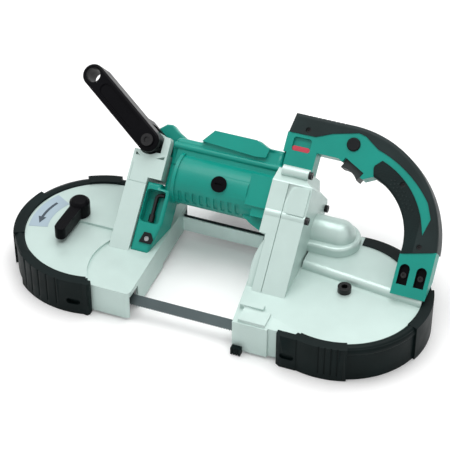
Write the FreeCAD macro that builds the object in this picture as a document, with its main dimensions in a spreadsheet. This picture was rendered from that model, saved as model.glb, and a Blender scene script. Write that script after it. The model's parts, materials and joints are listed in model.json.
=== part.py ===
"""Portable band saw, lying on its side, built from separate pieces in millimetres.

X runs along the saw from the idler wheel to the drive wheel, Z is the wheel axle direction, and the
throat opens towards -Y. The motor, the gear column and both handles stand on planes turned by
head_tilt about X: there the second axis is up in use and the third axis faces the front.
"""
import FreeCAD, Part
import math
import os
import Sketcher
from FreeCAD import Placement, Rotation, Vector
from types import SimpleNamespace

# Driving dimensions
SIZES = {
    # General fits
    "running_gap": 0.3,
    "shaft_fit": 0.05,
    "screw_fit": 0.1,
    "overrun": 2.0,
    "head_tilt": 45.0,
    # Blade and wheels
    "blade_length": 1140.0,
    "blade_width": 13.0,
    "blade_thickness": 0.5,
    "blade_mid_z": 29.5,
    "tooth_pitch": 3.2,
    "tooth_depth": 1.2,
    "wheel_radius": 80.0,
    "drive_wheel_x": 154.0,
    "tyre_thickness": 2.5,
    "tyre_overhang": 0.5,
    "rim_thickness": 8.0,
    "web_thickness": 5.0,
    "hub_radius": 21.0,
    "hub_bottom_z": 18.0,
    "hub_top_z": 37.2,
    "web_hole_radius": 11.0,
    "web_hole_reach": 46.0,
    "wheel_bearing_radius": 16.0,
    "wheel_bearing_width": 9.0,
    "axle_radius": 6.0,
    "axle_bottom_z": 13.0,
    "axle_flange_radius": 11.0,
    "axle_flange_height": 3.0,
    "axle_head_radius": 8.0,
    "axle_head_height": 7.0,
    "axle_socket_radius": 4.0,
    "axle_nut_radius": 11.0,
    "axle_nut_height": 4.0,
    # Wheel castings
    "disc_margin": 15.0,
    "deck_inset": 3.0,
    "deck_corner": 6.0,
    "deck_top_z": 50.0,
    "deck_edge_round": 2.5,
    "floor_z": 6.0,
    "rim_bottom_z": 9.0,
    "casting_wall": 3.0,
    "idler_deck": 6.0,
    "idler_throat_x": 76.0,
    "step_x": 133.5,
    "step_y": 12.0,
    "step_front_x": 124.0,
    "step_sweep": 70.0,
    "step_drop": 3.0,
    "slot_top_z": 40.0,
    "front_slot_margin": 14.0,
    "rear_slot_margin": 3.0,
    "rear_slot_bottom_z": 12.0,
    "wall_notch_y": 8.0,
    "wall_notch_height": 5.0,
    "lever_pad_left": 204.0,
    "lever_pad_front": 4.5,
    "lever_pad_back": 38.0,
    "lever_pad_height": 3.0,
    "lever_pad_corner": 5.0,
    "drive_deck": 4.0,
    "drive_throat_front_x": 52.0,
    "drive_throat_rear_x": 34.0,
    "drive_throat_bend_y": 60.0,
    "plateau_top_z": 59.0,
    "plateau_left_x": 96.0,
    "plateau_left_y": 20.0,
    "plateau_right_y": 3.0,
    "plateau_inset": 5.0,
    "plateau_slope": 7.0,
    "plateau_wall": 5.0,
    "corner_block_right": 94.0,
    "corner_block_proud": 3.0,
    "corner_block_back": 74.0,
    "corner_bar_height": 6.0,
    "corner_bar_depth": 8.0,
    "corner_bar_right": 80.0,
    "corner_step_height": 3.5,
    "corner_step_left": 58.0,
    "corner_step_right": 90.0,
    "corner_bar_back": 62.0,
    "gear_slot_half": 16.0,
    "gear_slot_gap": 0.5,
    # Bumpers
    "bumper_band": 5.0,
    "bumper_pad": 8.0,
    "bumper_band_top_z": 51.0,
    "bumper_pad_top_z": 53.0,
    "bumper_lip": 5.0,
    "bumper_edge_round": 2.0,
    "bumper_groove_width": 1.6,
    "bumper_groove_depth": 1.2,
    "bumper_slot_length": 9.0,
    "bumper_slot_height": 8.0,
    "bumper_slot_z": 23.5,
    "bumper_slot_depth": 5.0,
    "idler_slot_x": 143.0,
    "drive_slot_x": 119.5,
    "bumper_groove_low_z": 14.0,
    "idler_pad_end_x": 124.0,
    "drive_pad_end_x": 106.0,
    # Rear guard and stop
    "guard_margin": 5.8,
    "guard_thickness": 1.5,
    "guard_bottom_z": 16.0,
    "guard_height": 20.0,
    "stop_left_x": 52.5,
    "stop_width": 12.0,
    "stop_reach": 7.0,
    "stop_bottom_z": 6.5,
    "stop_height": 9.0,
    "stop_groove": 1.2,
    # Blade guides
    "guide_inset": 4.0,
    "guide_length": 22.0,
    "guide_back_margin": 18.0,
    "guide_front_margin": 8.0,
    "guide_bottom_z": 19.0,
    "guide_side_gap": 2.0,
    "roller_radius": 4.0,
    "roller_length": 7.0,
    "back_roller_radius": 4.5,
    "back_roller_length": 6.0,
    "roller_pin_radius": 1.5,
    "roller_pin_reach": 2.0,
    "roller_gap": 0.15,
    "roller_pocket_gap": 0.5,
    "side_roller_inset": 6.0,
    "back_roller_inset": 16.0,
    # Idler carriage, spring and tension lever
    "carriage_height": 5.2,
    "carriage_left": 40.0,
    "carriage_right": 38.0,
    "carriage_half_width": 15.0,
    "carriage_rail_width": 4.0,
    "carriage_rail_height": 4.0,
    "carriage_rail_length": 24.0,
    "carriage_ear_half": 11.0,
    "carriage_ear_reach": 31.0,
    "slack_travel": 5.0,
    "spring_wire": 1.0,
    "spring_radius": 2.0,
    "spring_pitch": 3.0,
    "spring_turns": 5.0,
    "lever_x": 187.0,
    "lever_y": 17.0,
    "lever_swing": 100.0,
    "lever_hub_radius": 12.5,
    "lever_hub_top_z": 75.0,
    "lever_spindle_radius": 7.0,
    "lever_pin_radius": 3.0,
    "lever_reach": 57.0,
    "lever_lean": 2.0,
    "lever_width": 14.0,
    "lever_arm_bottom_z": 55.0,
    "lever_arm_top_z": 71.0,
    "lever_slot_gap": 0.5,
    # Motor
    "motor_up": 120.0,
    "motor_front": 22.0,
    "motor_left_x": 77.0,
    "motor_right_x": 45.0,
    "barrel_radius": 30.0,
    "barrel_wall": 3.0,
    "barrel_flange": 2.0,
    "barrel_flange_width": 4.0,
    "motor_end_wall": 8.0,
    "stator_left_x": 6.0,
    "stator_right_x": 28.0,
    "stator_inner": 18.0,
    "armature_radius": 17.0,
    "armature_left_x": 4.0,
    "armature_right_x": 26.0,
    "commutator_radius": 11.0,
    "commutator_left_x": 32.0,
    "commutator_right_x": 10.0,
    "motor_shaft_radius": 4.0,
    "shaft_collar": 8.0,
    "fan_left_x": 31.0,
    "fan_width": 9.0,
    "fan_plate": 2.0,
    "fan_radius": 24.0,
    "fan_blade_thickness": 1.6,
    "brush_x": 19.0,
    "brush_radius": 9.5,
    "brush_proud": 2.0,
    "brush_depth": 4.0,
    "brush_slot": 2.0,
    "body_left_x": 90.0,
    "body_front": 36.0,
    "body_back": 10.0,
    "body_bottom_up": 100.0,
    "body_top_up": 166.0,
    "body_right_up": 177.0,
    "body_corner": 6.0,
    "hump_left_x": 58.0,
    "hump_right_x": 12.0,
    "hump_top_up": 183.0,
    "hump_tail_x": 22.0,
    "hump_corner": 13.0,
    # Nose cover, lamp and hex key
    "nose_left_x": 107.5,
    "nose_right_x": 77.0,
    "nose_foot_x": 85.0,
    "nose_top_up": 105.0,
    "nose_knee_up": 60.0,
    "nose_front": 46.0,
    "nose_back": 8.0,
    "nose_recess_left": 105.0,
    "nose_recess_right": 81.0,
    "nose_recess_low": 57.0,
    "nose_recess_high": 97.0,
    "nose_recess_depth": 14.0,
    "nose_corner": 4.0,
    "lamp_x": 90.0,
    "lamp_up": 38.0,
    "lamp_radius": 5.5,
    "lamp_depth": 5.0,
    "lamp_proud": 1.0,
    "key_radius": 2.5,
    "key_long": 36.0,
    "key_short": 9.0,
    "key_bend": 5.0,
    "key_x": 94.0,
    "key_low_up": 59.0,
    "key_grip_radius": 3.6,
    "key_grip_length": 9.0,
    # Idler arm and front handle
    "arm_left_x": 133.0,
    "arm_right_x": 108.0,
    "arm_front": 48.0,
    "arm_back": 10.0,
    "arm_top_up": 140.0,
    "cradle_right_x": 91.0,
    "cradle_low_up": 109.0,
    "cradle_web_depth": 5.0,
    "pivot_x": 116.0,
    "pivot_rise": 11.0,
    "pivot_boss_radius": 15.0,
    "pivot_lug_front": 30.0,
    "pivot_lug_back": 10.0,
    "pivot_bolt_radius": 4.0,
    "pivot_head_radius": 7.5,
    "pivot_head_height": 3.0,
    "pivot_nut_height": 5.0,
    "front_handle_length": 108.0,
    "front_handle_angle": 145.0,
    "front_handle_radius": 13.5,
    "front_handle_front": 60.0,
    "front_handle_back": 5.0,
    "front_handle_grip_back": 22.0,
    "front_handle_hole": 9.0,
    "front_handle_edge": 3.0,
    "front_handle_panel_depth": 1.5,
    "front_handle_panel_radius": 8.0,
    "front_handle_panel_start": 28.0,
    "front_handle_panel_end": 82.0,
    "cradle_gap": 1.5,
    "clevis_reach": 26.0,
    "clevis_web": 8.0,
    # Gear column
    "case_left_x": 45.0,
    "case_leg_x": 53.0,
    "case_seam_x": 66.0,
    "case_right_x": 94.0,
    "case_front": 62.0,
    "case_back": 28.0,
    "case_top_up": 157.0,
    "case_shoulder_up": 140.0,
    "case_shoulder_front": 46.0,
    "case_rear_up": 135.0,
    "case_crown_back": 5.0,
    "case_leg_up": 76.5,
    "case_wall": 7.0,
    "case_edge_round": 3.0,
    "case_cut_x": 84.0,
    "case_cut_up": 138.0,
    "case_cut_step_up": 146.0,
    "case_boss_radius": 6.5,
    "case_boss_front": 57.0,
    "upper_boss_up": 154.0,
    "upper_boss_front": 53.0,
    "upper_boss_left": 52.0,
    "upper_boss_right": 84.0,
    "lower_boss_up": 101.5,
    "lower_boss_left": 46.0,
    "rear_boss_up": 128.0,
    "rear_boss_back": 16.0,
    "case_screw_radius": 2.5,
    "case_screw_head": 4.5,
    "case_screw_head_length": 4.0,
    "case_screw_length": 30.0,
    # Gear train
    "spur_module": 1.0,
    "motor_pinion_teeth": 12.0,
    "reduction_teeth": 48.0,
    "bevel_pinion_teeth": 12.0,
    "bevel_gear_teeth": 36.0,
    "wheel_module": 1.5,
    "wheel_pinion_teeth": 17.0,
    "wheel_gear_teeth": 85.0,
    "gear_backlash": 0.22,
    "reduction_left_x": 67.0,
    "reduction_width": 9.0,
    "motor_pinion_width": 13.0,
    "bevel_face": 6.0,
    "bevel_hub_length": 4.5,
    "wheel_gear_bottom_z": 37.6,
    "wheel_gear_width": 5.6,
    "wheel_gear_bore": 50.0,
    "output_offset_x": 32.0,
    "counter_radius": 5.0,
    "gear_bearing_radius": 11.0,
    "gear_bearing_width": 7.0,
    "output_bearing_width": 11.0,
    "output_boss_wall": 4.0,
    "dome_radius": 28.0,
    "dome_step_height": 12.0,
    "dome_step_round": 4.0,
    "dome_capsule_radius": 19.0,
    "dome_capsule_end": 3.0,
    "dome_wall": 3.0,
    "dome_roof": 2.0,
    # Main handle
    "handle_middle": 20.0,
    "handle_half": 18.0,
    "handle_block_left": 46.0,
    "handle_block_right": 82.0,
    "handle_grip_left": 42.0,
    "handle_grip_low_up": 201.0,
    "handle_top_up": 225.0,
    "handle_grip_dip_x": 95.0,
    "handle_grip_dip_up": 209.5,
    "handle_grip_step_x": 76.0,
    "handle_grip_step_up": 201.5,
    "handle_crown_x": 121.0,
    "handle_crown_up": 224.8,
    "handle_core_crown_x": 125.0,
    "handle_core_crown_up": 217.0,
    "handle_core_brow_x": 134.0,
    "handle_core_brow_up": 215.0,
    "handle_core_arc_x": 152.0,
    "handle_core_arc_up": 203.0,
    "handle_outer_arc": 131.0,
    "handle_core_arc": 141.0,
    "handle_heel_x": 247.0,
    "handle_core_heel_x": 223.3,
    "handle_core_heel_up": 155.3,
    "handle_heel_up": 102.4,
    "handle_foot_left": 206.0,
    "handle_foot_up": 92.0,
    "spine_left": 220.0,
    "spine_right": 231.0,
    "spine_left_up": 135.0,
    "spine_right_up": 138.0,
    "loop_tip_x": 226.0,
    "loop_tip_up": 117.6,
    "handle_patch_arc": 99.0,
    "handle_inner_arc": 76.0,
    "handle_patch_top_x": 160.0,
    "handle_patch_top_up": 191.5,
    "handle_patch_end_x": 151.5,
    "handle_patch_end_up": 183.0,
    "handle_patch_end_round": 5.0,
    "handle_inner_top_x": 154.0,
    "handle_inner_top_up": 171.0,
    "handle_guard_x": 142.0,
    "handle_guard_up": 165.0,
    "handle_neck_x": 108.0,
    "handle_neck_up": 183.0,
    "handle_edge_round": 5.0,
    "handle_patch_round": 4.0,
    "handle_grip_proud": 1.0,
    "handle_grip_skin": 2.0,
    "handle_base_up": 30.0,
    "trigger_half_width": 12.5,
    "trigger_proud": 5.5,
    "trigger_tail": 10.0,
    "trigger_half_thickness": 13.0,
    "trigger_travel": 5.0,
    "trigger_scoop": 24.0,
    "trigger_inset": 20.5,
    "trigger_notch_half": 14.2,
    "trigger_notch_depth": 6.5,
    "lock_x": 122.0,
    "lock_up": 202.6,
    "lock_radius": 8.0,
    "lock_proud": 2.5,
    "lock_inner_front": 32.0,
    "switch_left": 134.0,
    "switch_right": 150.0,
    "switch_low": 191.0,
    "switch_high": 201.0,
    "switch_half_thickness": 10.0,
    "recess_left": 51.0,
    "recess_right": 73.0,
    "recess_low": 180.5,
    "recess_high": 197.0,
    "recess_depth": 4.0,
    "recess_corner": 3.0,
    "slide_height": 6.0,
    "slide_thickness": 2.6,
    "foot_arch_left": 216.0,
    "foot_arch_right": 236.0,
    "foot_arch_width": 12.0,
    "foot_arch_low": 58.0,
    "foot_arch_high": 76.0,
    "foot_arch_depth": 5.0,
    "handle_screw_radius": 3.2,
    "handle_screw_depth": 8.0,
    "handle_screw_sink": 1.5,
    "handle_post_radius": 7.0,
    "screw_one_x": 65.6,
    "screw_one_up": 207.4,
    "screw_two_x": 190.0,
    "screw_two_up": 170.0,
    "screw_three_x": 226.0,
    "screw_three_up": 104.0,
    # Battery pack
    "pack_left_x": 62.0,
    "pack_right_x": 43.0,
    "pack_low_up": 103.5,
    "pack_width": 74.0,
    "pack_depth": 60.0,
    "pack_corner": 8.0,
    "pack_edge_round": 3.0,
    "pack_rail_inset": 18.0,
    "pack_rail_half": 2.0,
    "pack_rail_flange": 4.0,
    "pack_rail_depth": 3.0,
    "pack_rail_top_up": 158.0,
}


class Size:
    """A length that carries both its value and the sheet expression behind it."""

    def __init__(self, value, text):
        self.value = float(value)
        self.text = text

    def __add__(self, other):
        other = as_size(other)
        return Size(self.value + other.value, f"({self.text} + {other.text})")

    __radd__ = __add__

    def __neg__(self):
        return Size(-self.value, f"(-{self.text})")

    def __sub__(self, other):
        other = as_size(other)
        return Size(self.value - other.value, f"({self.text} - {other.text})")

    def __rsub__(self, other):
        return as_size(other) - self

    def __mul__(self, other):
        other = as_size(other)
        return Size(self.value * other.value, f"({self.text} * {other.text})")

    __rmul__ = __mul__

    def __truediv__(self, other):
        other = as_size(other)
        return Size(self.value / other.value, f"({self.text} / {other.text})")


def as_size(number):
    """Gives a plain number the form of a size."""
    return number if isinstance(number, Size) else Size(number, repr(float(number)))


def root(size):
    """Square root of a size product."""
    return Size(math.sqrt(size.value), f"sqrt({size.text})")


def cosine(angle):
    """Cosine of an angle in degrees."""
    return Size(math.cos(math.radians(angle.value)), f"cos({angle.text} * 1deg)")


def sine(angle):
    """Sine of an angle in degrees."""
    return Size(math.sin(math.radians(angle.value)), f"sin({angle.text} * 1deg)")


doc = FreeCAD.newDocument("band_saw")
sheet = doc.addObject("Spreadsheet::Sheet", "Sizes")
for row, (name, value) in enumerate(SIZES.items(), 1):
    sheet.set(f"A{row}", name)
    sheet.set(f"B{row}", str(value))
    sheet.setAlias(f"B{row}", name)
doc.recompute()
d = SimpleNamespace(**{name: Size(sheet.get(name), f"Sizes.{name}") for name in SIZES})

# Places that several pieces share
PI = Size(math.pi, "pi")
FULL_TURN = 360
STRAIGHT_ANGLE = FULL_TURN / 2
RIGHT_ANGLE = FULL_TURN / 4
HEX_SIDES = 6
disc_x = d.drive_wheel_x
disc_radius = d.wheel_radius + d.disc_margin
deck_half_width = disc_radius - d.deck_inset
front_slot_y = d.wheel_radius - d.front_slot_margin
rear_slot_y = d.wheel_radius - d.rear_slot_margin
guard_y = d.wheel_radius - d.guard_margin
guide_back_y = d.wheel_radius - d.guide_back_margin
guide_front_y = d.wheel_radius + d.guide_front_margin
tilt_cos = cosine(d.head_tilt)
tilt_sin = sine(d.head_tilt)
idler_x = d.drive_wheel_x - (d.blade_length - 2 * PI * d.wheel_radius) / 2
tyre_radius = d.wheel_radius - d.blade_thickness / 2 - d.running_gap
rim_radius = tyre_radius - d.tyre_thickness
tyre_bottom_z = d.blade_mid_z - d.blade_width / 2 - d.tyre_overhang
tyre_width = d.blade_width + 2 * d.tyre_overhang
idler_underside_z = d.deck_top_z - d.idler_deck
drive_underside_z = d.deck_top_z - d.drive_deck
low_deck_z = d.deck_top_z - d.step_drop
lever_floor_z = d.deck_top_z + d.lever_pad_height
lever_throw = d.slack_travel / (2 * sine(d.lever_swing / 2))
pin_x = -d.lever_x - lever_throw * sine(d.lever_swing / 2)
pivot_up = d.arm_top_up + d.pivot_rise


def flat_y(up, front):
    """Flat Y of a place on the tilted planes."""
    return up * tilt_cos - front * tilt_sin


def flat_z(up, front):
    """Flat Z of a place on the tilted planes."""
    return up * tilt_sin + front * tilt_cos


def tilted_up(y, z):
    """Up-in-use distance of a flat place."""
    return y * tilt_cos + z * tilt_sin


def tilted_front(y, z):
    """Front distance of a flat place."""
    return z * tilt_cos - y * tilt_sin


def up_on_level(z, front):
    """Up-in-use distance at which a front distance meets a flat level."""
    return (z - front * tilt_cos) / tilt_sin


motor_y = flat_y(d.motor_up, d.motor_front)
motor_z = flat_z(d.motor_up, d.motor_front)
motor_pinion_radius = d.spur_module * d.motor_pinion_teeth / 2
reduction_radius = d.spur_module * d.reduction_teeth / 2
wheel_pinion_radius = d.wheel_module * d.wheel_pinion_teeth / 2
wheel_gear_radius = d.wheel_module * d.wheel_gear_teeth / 2
wheel_centres = wheel_pinion_radius + wheel_gear_radius
output_x = d.drive_wheel_x - d.output_offset_x
output_y = root(wheel_centres * wheel_centres - d.output_offset_x * d.output_offset_x)
spur_centres = motor_pinion_radius + reduction_radius
counter_y = output_y
counter_z = motor_z - root(spur_centres * spur_centres - (motor_y - output_y) * (motor_y - output_y))
bevel_pinion_radius = d.spur_module * d.bevel_pinion_teeth / 2
bevel_gear_radius = d.spur_module * d.bevel_gear_teeth / 2
counter_up = tilted_up(counter_y, counter_z)
counter_front = tilted_front(counter_y, counter_z)
blade_up = tilted_up(-d.wheel_radius, d.blade_mid_z)
blade_front = tilted_front(-d.wheel_radius, d.blade_mid_z)

FLAT, TILTED = "flat", "tilted"
pieces = {}


HALF_TURN = "half turn"


class Corner:
    """A corner of an outline, with its rounding or the arc that leaves it.

    side is 1 where the arc turns left and -1 where it turns right; wide is an arc over half a turn.
    An arc of HALF_TURN takes its radius from the two corners that it joins.
    """

    def __init__(self, x, y, rounding=None, arc=None, side=1, wide=False):
        self.x = as_size(x)
        self.y = as_size(y)
        self.rounding = rounding
        self.arc = arc
        self.side = side
        self.wide = wide
        self.point = Vector(self.x.value, self.y.value, 0)


class Ring:
    """A round outline."""

    def __init__(self, x, y, radius):
        self.x = as_size(x)
        self.y = as_size(y)
        self.radius = as_size(radius)


def block(left, low, right, high, rounding=None):
    """Four corners of a rectangle."""
    places = ((left, low), (right, low), (right, high), (left, high))
    return [Corner(x, y, rounding) for x, y in places]


def keep(piece, label, frame):
    """Files a finished piece under its own name and the frame that it stands in."""
    piece.Label = label
    pieces[label] = (piece, frame)
    return piece


def new_body(label, frame=FLAT):
    """Starts a named body."""
    return keep(doc.addObject("PartDesign::Body", label), label, frame)


def loose_body():
    """Starts a body that joins a group of like pieces."""
    return doc.addObject("PartDesign::Body", "member")


def new_sketch(body, role, shift):
    """Adds a sketch on one of the body's planes, moved by shift."""
    sketch = body.newObject("Sketcher::SketchObject", "Sketch")
    plane = next(item for item in body.Origin.OriginFeatures if item.Role == role)
    sketch.AttachmentSupport = [(plane, "")]
    sketch.MapMode = "FlatFace"
    moves = [as_size(move) for move in shift]
    sketch.AttachmentOffset = Placement(Vector(*[move.value for move in moves]), Rotation())
    for axis, move in zip("xyz", moves):
        sketch.setExpression(f"AttachmentOffset.Base.{axis}", move.text)
    return sketch


def add_arc(sketch, start, end, radius, side, wide):
    """Adds an arc and returns its number and the numbers of its start and end."""
    chord = end - start
    left = Vector(-chord.y, chord.x, 0).normalize()
    rise = math.sqrt(max(radius**2 - chord.Length**2 / 4, 0))
    centre = (start + end) / 2 + left * (-rise if wide else rise) * side
    first, last = (start, end) if side > 0 else (end, start)
    begin = math.atan2(first.y - centre.y, first.x - centre.x)
    finish = math.atan2(last.y - centre.y, last.x - centre.x)
    number = sketch.addGeometry(Part.ArcOfCircle(Part.Circle(centre, Vector(0, 0, 1), radius), begin, finish))
    return (number, 1, 2) if side > 0 else (number, 2, 1)


def rounding_ends(corner, before, after):
    """Start and end of the arc that rounds a corner, and its side."""
    way_in = (corner.point - before).normalize()
    way_out = (after - corner.point).normalize()
    reach = corner.rounding.value * math.tan(way_in.getAngle(way_out) / 2)
    side = 1 if way_in.cross(way_out).z > 0 else -1
    return corner.point - way_in * reach, corner.point + way_out * reach, side


def draw_outline(sketch, corners):
    """Draws a closed outline whose corners and radii follow the sheet."""
    total = len(corners)
    arrive, leave, sides = [], [], []
    for i, corner in enumerate(corners):
        if corner.rounding is None:
            ends = (corner.point, corner.point, 0)
        else:
            ends = rounding_ends(corner, corners[i - 1].point, corners[(i + 1) % total].point)
        arrive.append(ends[0])
        leave.append(ends[1])
        sides.append(ends[2])
    runs = []
    for i, corner in enumerate(corners):
        start, end = leave[i], arrive[(i + 1) % total]
        if corner.arc is None:
            runs.append((sketch.addGeometry(Part.LineSegment(start, end)), 1, 2))
        else:
            radius = (end - start).Length / 2 if corner.arc is HALF_TURN else corner.arc.value
            runs.append(add_arc(sketch, start, end, radius, corner.side, corner.wide))
    rules, bound = [], []

    def bind(rule, size):
        bound.append((len(rules), size))
        rules.append(rule)

    for i, corner in enumerate(corners):
        last, now = runs[i - 1], runs[i]
        if corner.rounding is None:
            rules.append(Sketcher.Constraint("Coincident", last[0], last[2], now[0], now[1]))
            spot = now
        else:
            arc = add_arc(sketch, arrive[i], leave[i], corner.rounding.value, sides[i], False)
            spot = (sketch.addGeometry(Part.Point(corner.point), True), 1)
            rules.append(Sketcher.Constraint("Tangent", last[0], last[2], arc[0], arc[1]))
            rules.append(Sketcher.Constraint("Tangent", arc[0], arc[2], now[0], now[1]))
            rules.append(Sketcher.Constraint("PointOnObject", spot[0], 1, last[0]))
            rules.append(Sketcher.Constraint("PointOnObject", spot[0], 1, now[0]))
            bind(Sketcher.Constraint("Radius", arc[0], corner.rounding.value), corner.rounding)
        bind(Sketcher.Constraint("DistanceX", -1, 1, spot[0], spot[1], corner.x.value), corner.x)
        bind(Sketcher.Constraint("DistanceY", -1, 1, spot[0], spot[1], corner.y.value), corner.y)
        if corner.arc is HALF_TURN:
            after = corners[(i + 1) % total]
            run = after.point - corner.point
            level_run = abs(run.x) >= abs(run.y)
            middle = ((corner.y + after.y) if level_run else (corner.x + after.x)) / 2
            rule = "DistanceY" if level_run else "DistanceX"
            bind(Sketcher.Constraint(rule, -1, 1, now[0], 3, middle.value), middle)
        elif corner.arc is not None:
            bind(Sketcher.Constraint("Radius", now[0], corner.arc.value), corner.arc)
    add_rules(sketch, rules, bound)


def draw_ring(sketch, ring):
    """Draws a circle whose place and radius follow the sheet."""
    centre = Vector(ring.x.value, ring.y.value, 0)
    number = sketch.addGeometry(Part.Circle(centre, Vector(0, 0, 1), ring.radius.value))
    rules = [
        Sketcher.Constraint("DistanceX", -1, 1, number, 3, ring.x.value),
        Sketcher.Constraint("DistanceY", -1, 1, number, 3, ring.y.value),
        Sketcher.Constraint("Radius", number, ring.radius.value),
    ]
    add_rules(sketch, rules, list(enumerate((ring.x, ring.y, ring.radius))))


def add_rules(sketch, rules, bound):
    """Adds constraints and binds the sized ones to the sheet."""
    first = sketch.ConstraintCount
    sketch.addConstraint(rules)
    for number, size in bound:
        sketch.setExpression(f"Constraints[{first + number}]", size.text)


def draw(sketch, outlines):
    """Draws each outline of a profile."""
    for outline in outlines:
        if isinstance(outline, Ring):
            draw_ring(sketch, outline)
        else:
            draw_outline(sketch, outline)


ROLES = {"x": "YZ_Plane", "y": "XZ_Plane", "z": "XY_Plane"}


def extrude(body, kind, along, start, end, outlines):
    """Pads or pockets outlines from start to end along an axis, drawn on the other two axes."""
    sketch = new_sketch(body, ROLES[along], (0, 0, -end if along == "y" else start))
    draw(sketch, outlines)
    feature = body.newObject(f"PartDesign::{kind}", kind)
    feature.Profile = sketch
    length = end - start
    feature.Length = length.value
    feature.setExpression("Length", length.text)
    feature.Reversed = kind == "Pocket"
    return feature


def pad(body, along, start, end, *outlines):
    """Adds the outlines between two levels."""
    return extrude(body, "Pad", along, as_size(start), as_size(end), outlines)


def pocket(body, along, start, end, *outlines):
    """Removes the outlines between two levels."""
    return extrude(body, "Pocket", along, as_size(start), as_size(end), outlines)


def turn(body, axis, place, outline, kind="Revolution"):
    """Turns an outline about an axis through place.

    About x the outline is (x, radius), about y it is (radius, y) and about z it is (radius, z).
    """
    shifts = {
        "x": ("XY_Plane", (0, place[0], place[1]), "H_Axis"),
        "y": ("XY_Plane", (place[0], 0, place[1]), "V_Axis"),
        "z": ("XZ_Plane", (place[0], 0, -place[1]), "V_Axis"),
    }
    role, shift, line = shifts[axis]
    sketch = new_sketch(body, role, shift)
    draw_outline(sketch, outline)
    feature = body.newObject(f"PartDesign::{kind}", kind)
    feature.Profile = sketch
    feature.ReferenceAxis = (sketch, [line])
    feature.Angle = FULL_TURN
    return feature


def polar(body, feature, axis_sketch, axis, count):
    """Repeats a feature round an axis of a sketch."""
    pattern = body.newObject("PartDesign::PolarPattern", "PolarPattern")
    pattern.Originals = [feature]
    pattern.Axis = (axis_sketch, [axis])
    pattern.Angle = FULL_TURN
    pattern.Occurrences = count
    body.Tip = pattern
    return pattern


def soften(body, radius, chosen):
    """Rounds the edges that chosen picks."""
    doc.recompute()
    names = [f"Edge{i}" for i, edge in enumerate(body.Shape.Edges, 1) if chosen(edge)]
    feature = body.newObject("PartDesign::Fillet", "Fillet")
    feature.Base = (body.Tip if body.Tip is not feature else feature.BaseFeature, names)
    feature.Radius = radius.value
    feature.setExpression("Radius", radius.text)
    return feature


def level(edge, axis, size):
    """True where an edge lies wholly at one level along an axis."""
    box = edge.BoundBox
    low, high = getattr(box, f"{axis}Min"), getattr(box, f"{axis}Max")
    return abs(low - size.value) < EDGE_TOLERANCE and abs(high - size.value) < EDGE_TOLERANCE


EDGE_TOLERANCE = 1e-3


def group(label, frame, members):
    """Files several like solids as one piece."""
    compound = doc.addObject("Part::Compound", label)
    compound.Links = members
    return keep(compound, label, frame)


def solid(label, shape, frame=FLAT):
    """Files a shape made from a formula."""
    feature = doc.addObject("Part::Feature", label)
    feature.Shape = shape
    return keep(feature, label, frame)


def tube(inner, outer, low, high):
    """Section of a tube about an upright axis."""
    return [Corner(inner, low), Corner(outer, low), Corner(outer, high), Corner(inner, high)]


def sleeve(inner, outer, left, right):
    """Section of a tube about an axis along x."""
    return [Corner(left, inner), Corner(right, inner), Corner(right, outer), Corner(left, outer)]


# Wheel castings


def idler_outline(inset):
    """Plan of the idler casting, moved in by inset."""
    radius = disc_radius - inset
    half = deck_half_width - inset
    edge = -disc_x + root(radius * radius - half * half)
    right = -d.idler_throat_x - inset
    return [
        Corner(right, -half, d.deck_corner),
        Corner(right, half, d.deck_corner),
        Corner(edge, half, arc=radius, side=1, wide=True),
        Corner(edge, -half),
    ]


def idler_housing():
    """Open-bottomed casting over the idler wheel, with its lowered deck by the throat."""
    body = new_body("idler_housing")
    pad(body, "z", d.rim_bottom_z, d.deck_top_z, idler_outline(as_size(0)))
    soften(body, d.deck_edge_round, lambda edge: level(edge, "Z", d.deck_top_z))
    far = deck_half_width + d.overrun
    right = -d.idler_throat_x + d.overrun
    sweep = [
        Corner(right, -far),
        Corner(right, far),
        Corner(-d.step_x, far),
        Corner(-d.step_x, -d.step_y, arc=d.step_sweep, side=1),
        Corner(-d.step_front_x, -far),
    ]
    pocket(body, "z", low_deck_z, d.deck_top_z + d.overrun, sweep)
    pocket(body, "z", d.rim_bottom_z - d.overrun, idler_underside_z, idler_outline(d.casting_wall))
    wall_in = -d.idler_throat_x - d.casting_wall - d.overrun
    inner = deck_half_width - d.casting_wall
    low = d.rim_bottom_z - d.overrun
    pocket(body, "x", wall_in, right, block(-inner, low, -front_slot_y, d.slot_top_z))
    pocket(body, "x", wall_in, right, block(rear_slot_y, d.rear_slot_bottom_z, inner, d.slot_top_z,
                                            d.casting_wall))
    notch_top = d.rim_bottom_z + d.wall_notch_height
    pocket(body, "x", wall_in, right, block(d.wall_notch_y, low, far, notch_top))
    pad(body, "z", low_deck_z, lever_floor_z,
        block(-d.lever_pad_left, d.lever_pad_front, -d.step_x, d.lever_pad_back, d.lever_pad_corner))
    rail_low = d.carriage_half_width + d.running_gap
    rail_high = rail_low + d.carriage_rail_width
    rail_z = idler_underside_z - d.carriage_rail_height
    rail_left = idler_x - d.carriage_left
    pad(body, "z", rail_z, idler_underside_z + d.overrun,
        block(rail_left, -rail_high, rail_left + 2 * d.carriage_rail_length, -rail_low))
    rear_rail_left = pin_x + d.carriage_ear_half + d.slack_travel + d.running_gap
    pad(body, "z", rail_z, idler_underside_z + d.overrun,
        block(rear_rail_left, rail_low, rear_rail_left + d.carriage_rail_length, rail_high))
    pocket(body, "z", idler_underside_z - d.overrun, lever_floor_z + d.overrun,
           Ring(-d.lever_x, d.lever_y, d.lever_spindle_radius + d.screw_fit))


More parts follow.
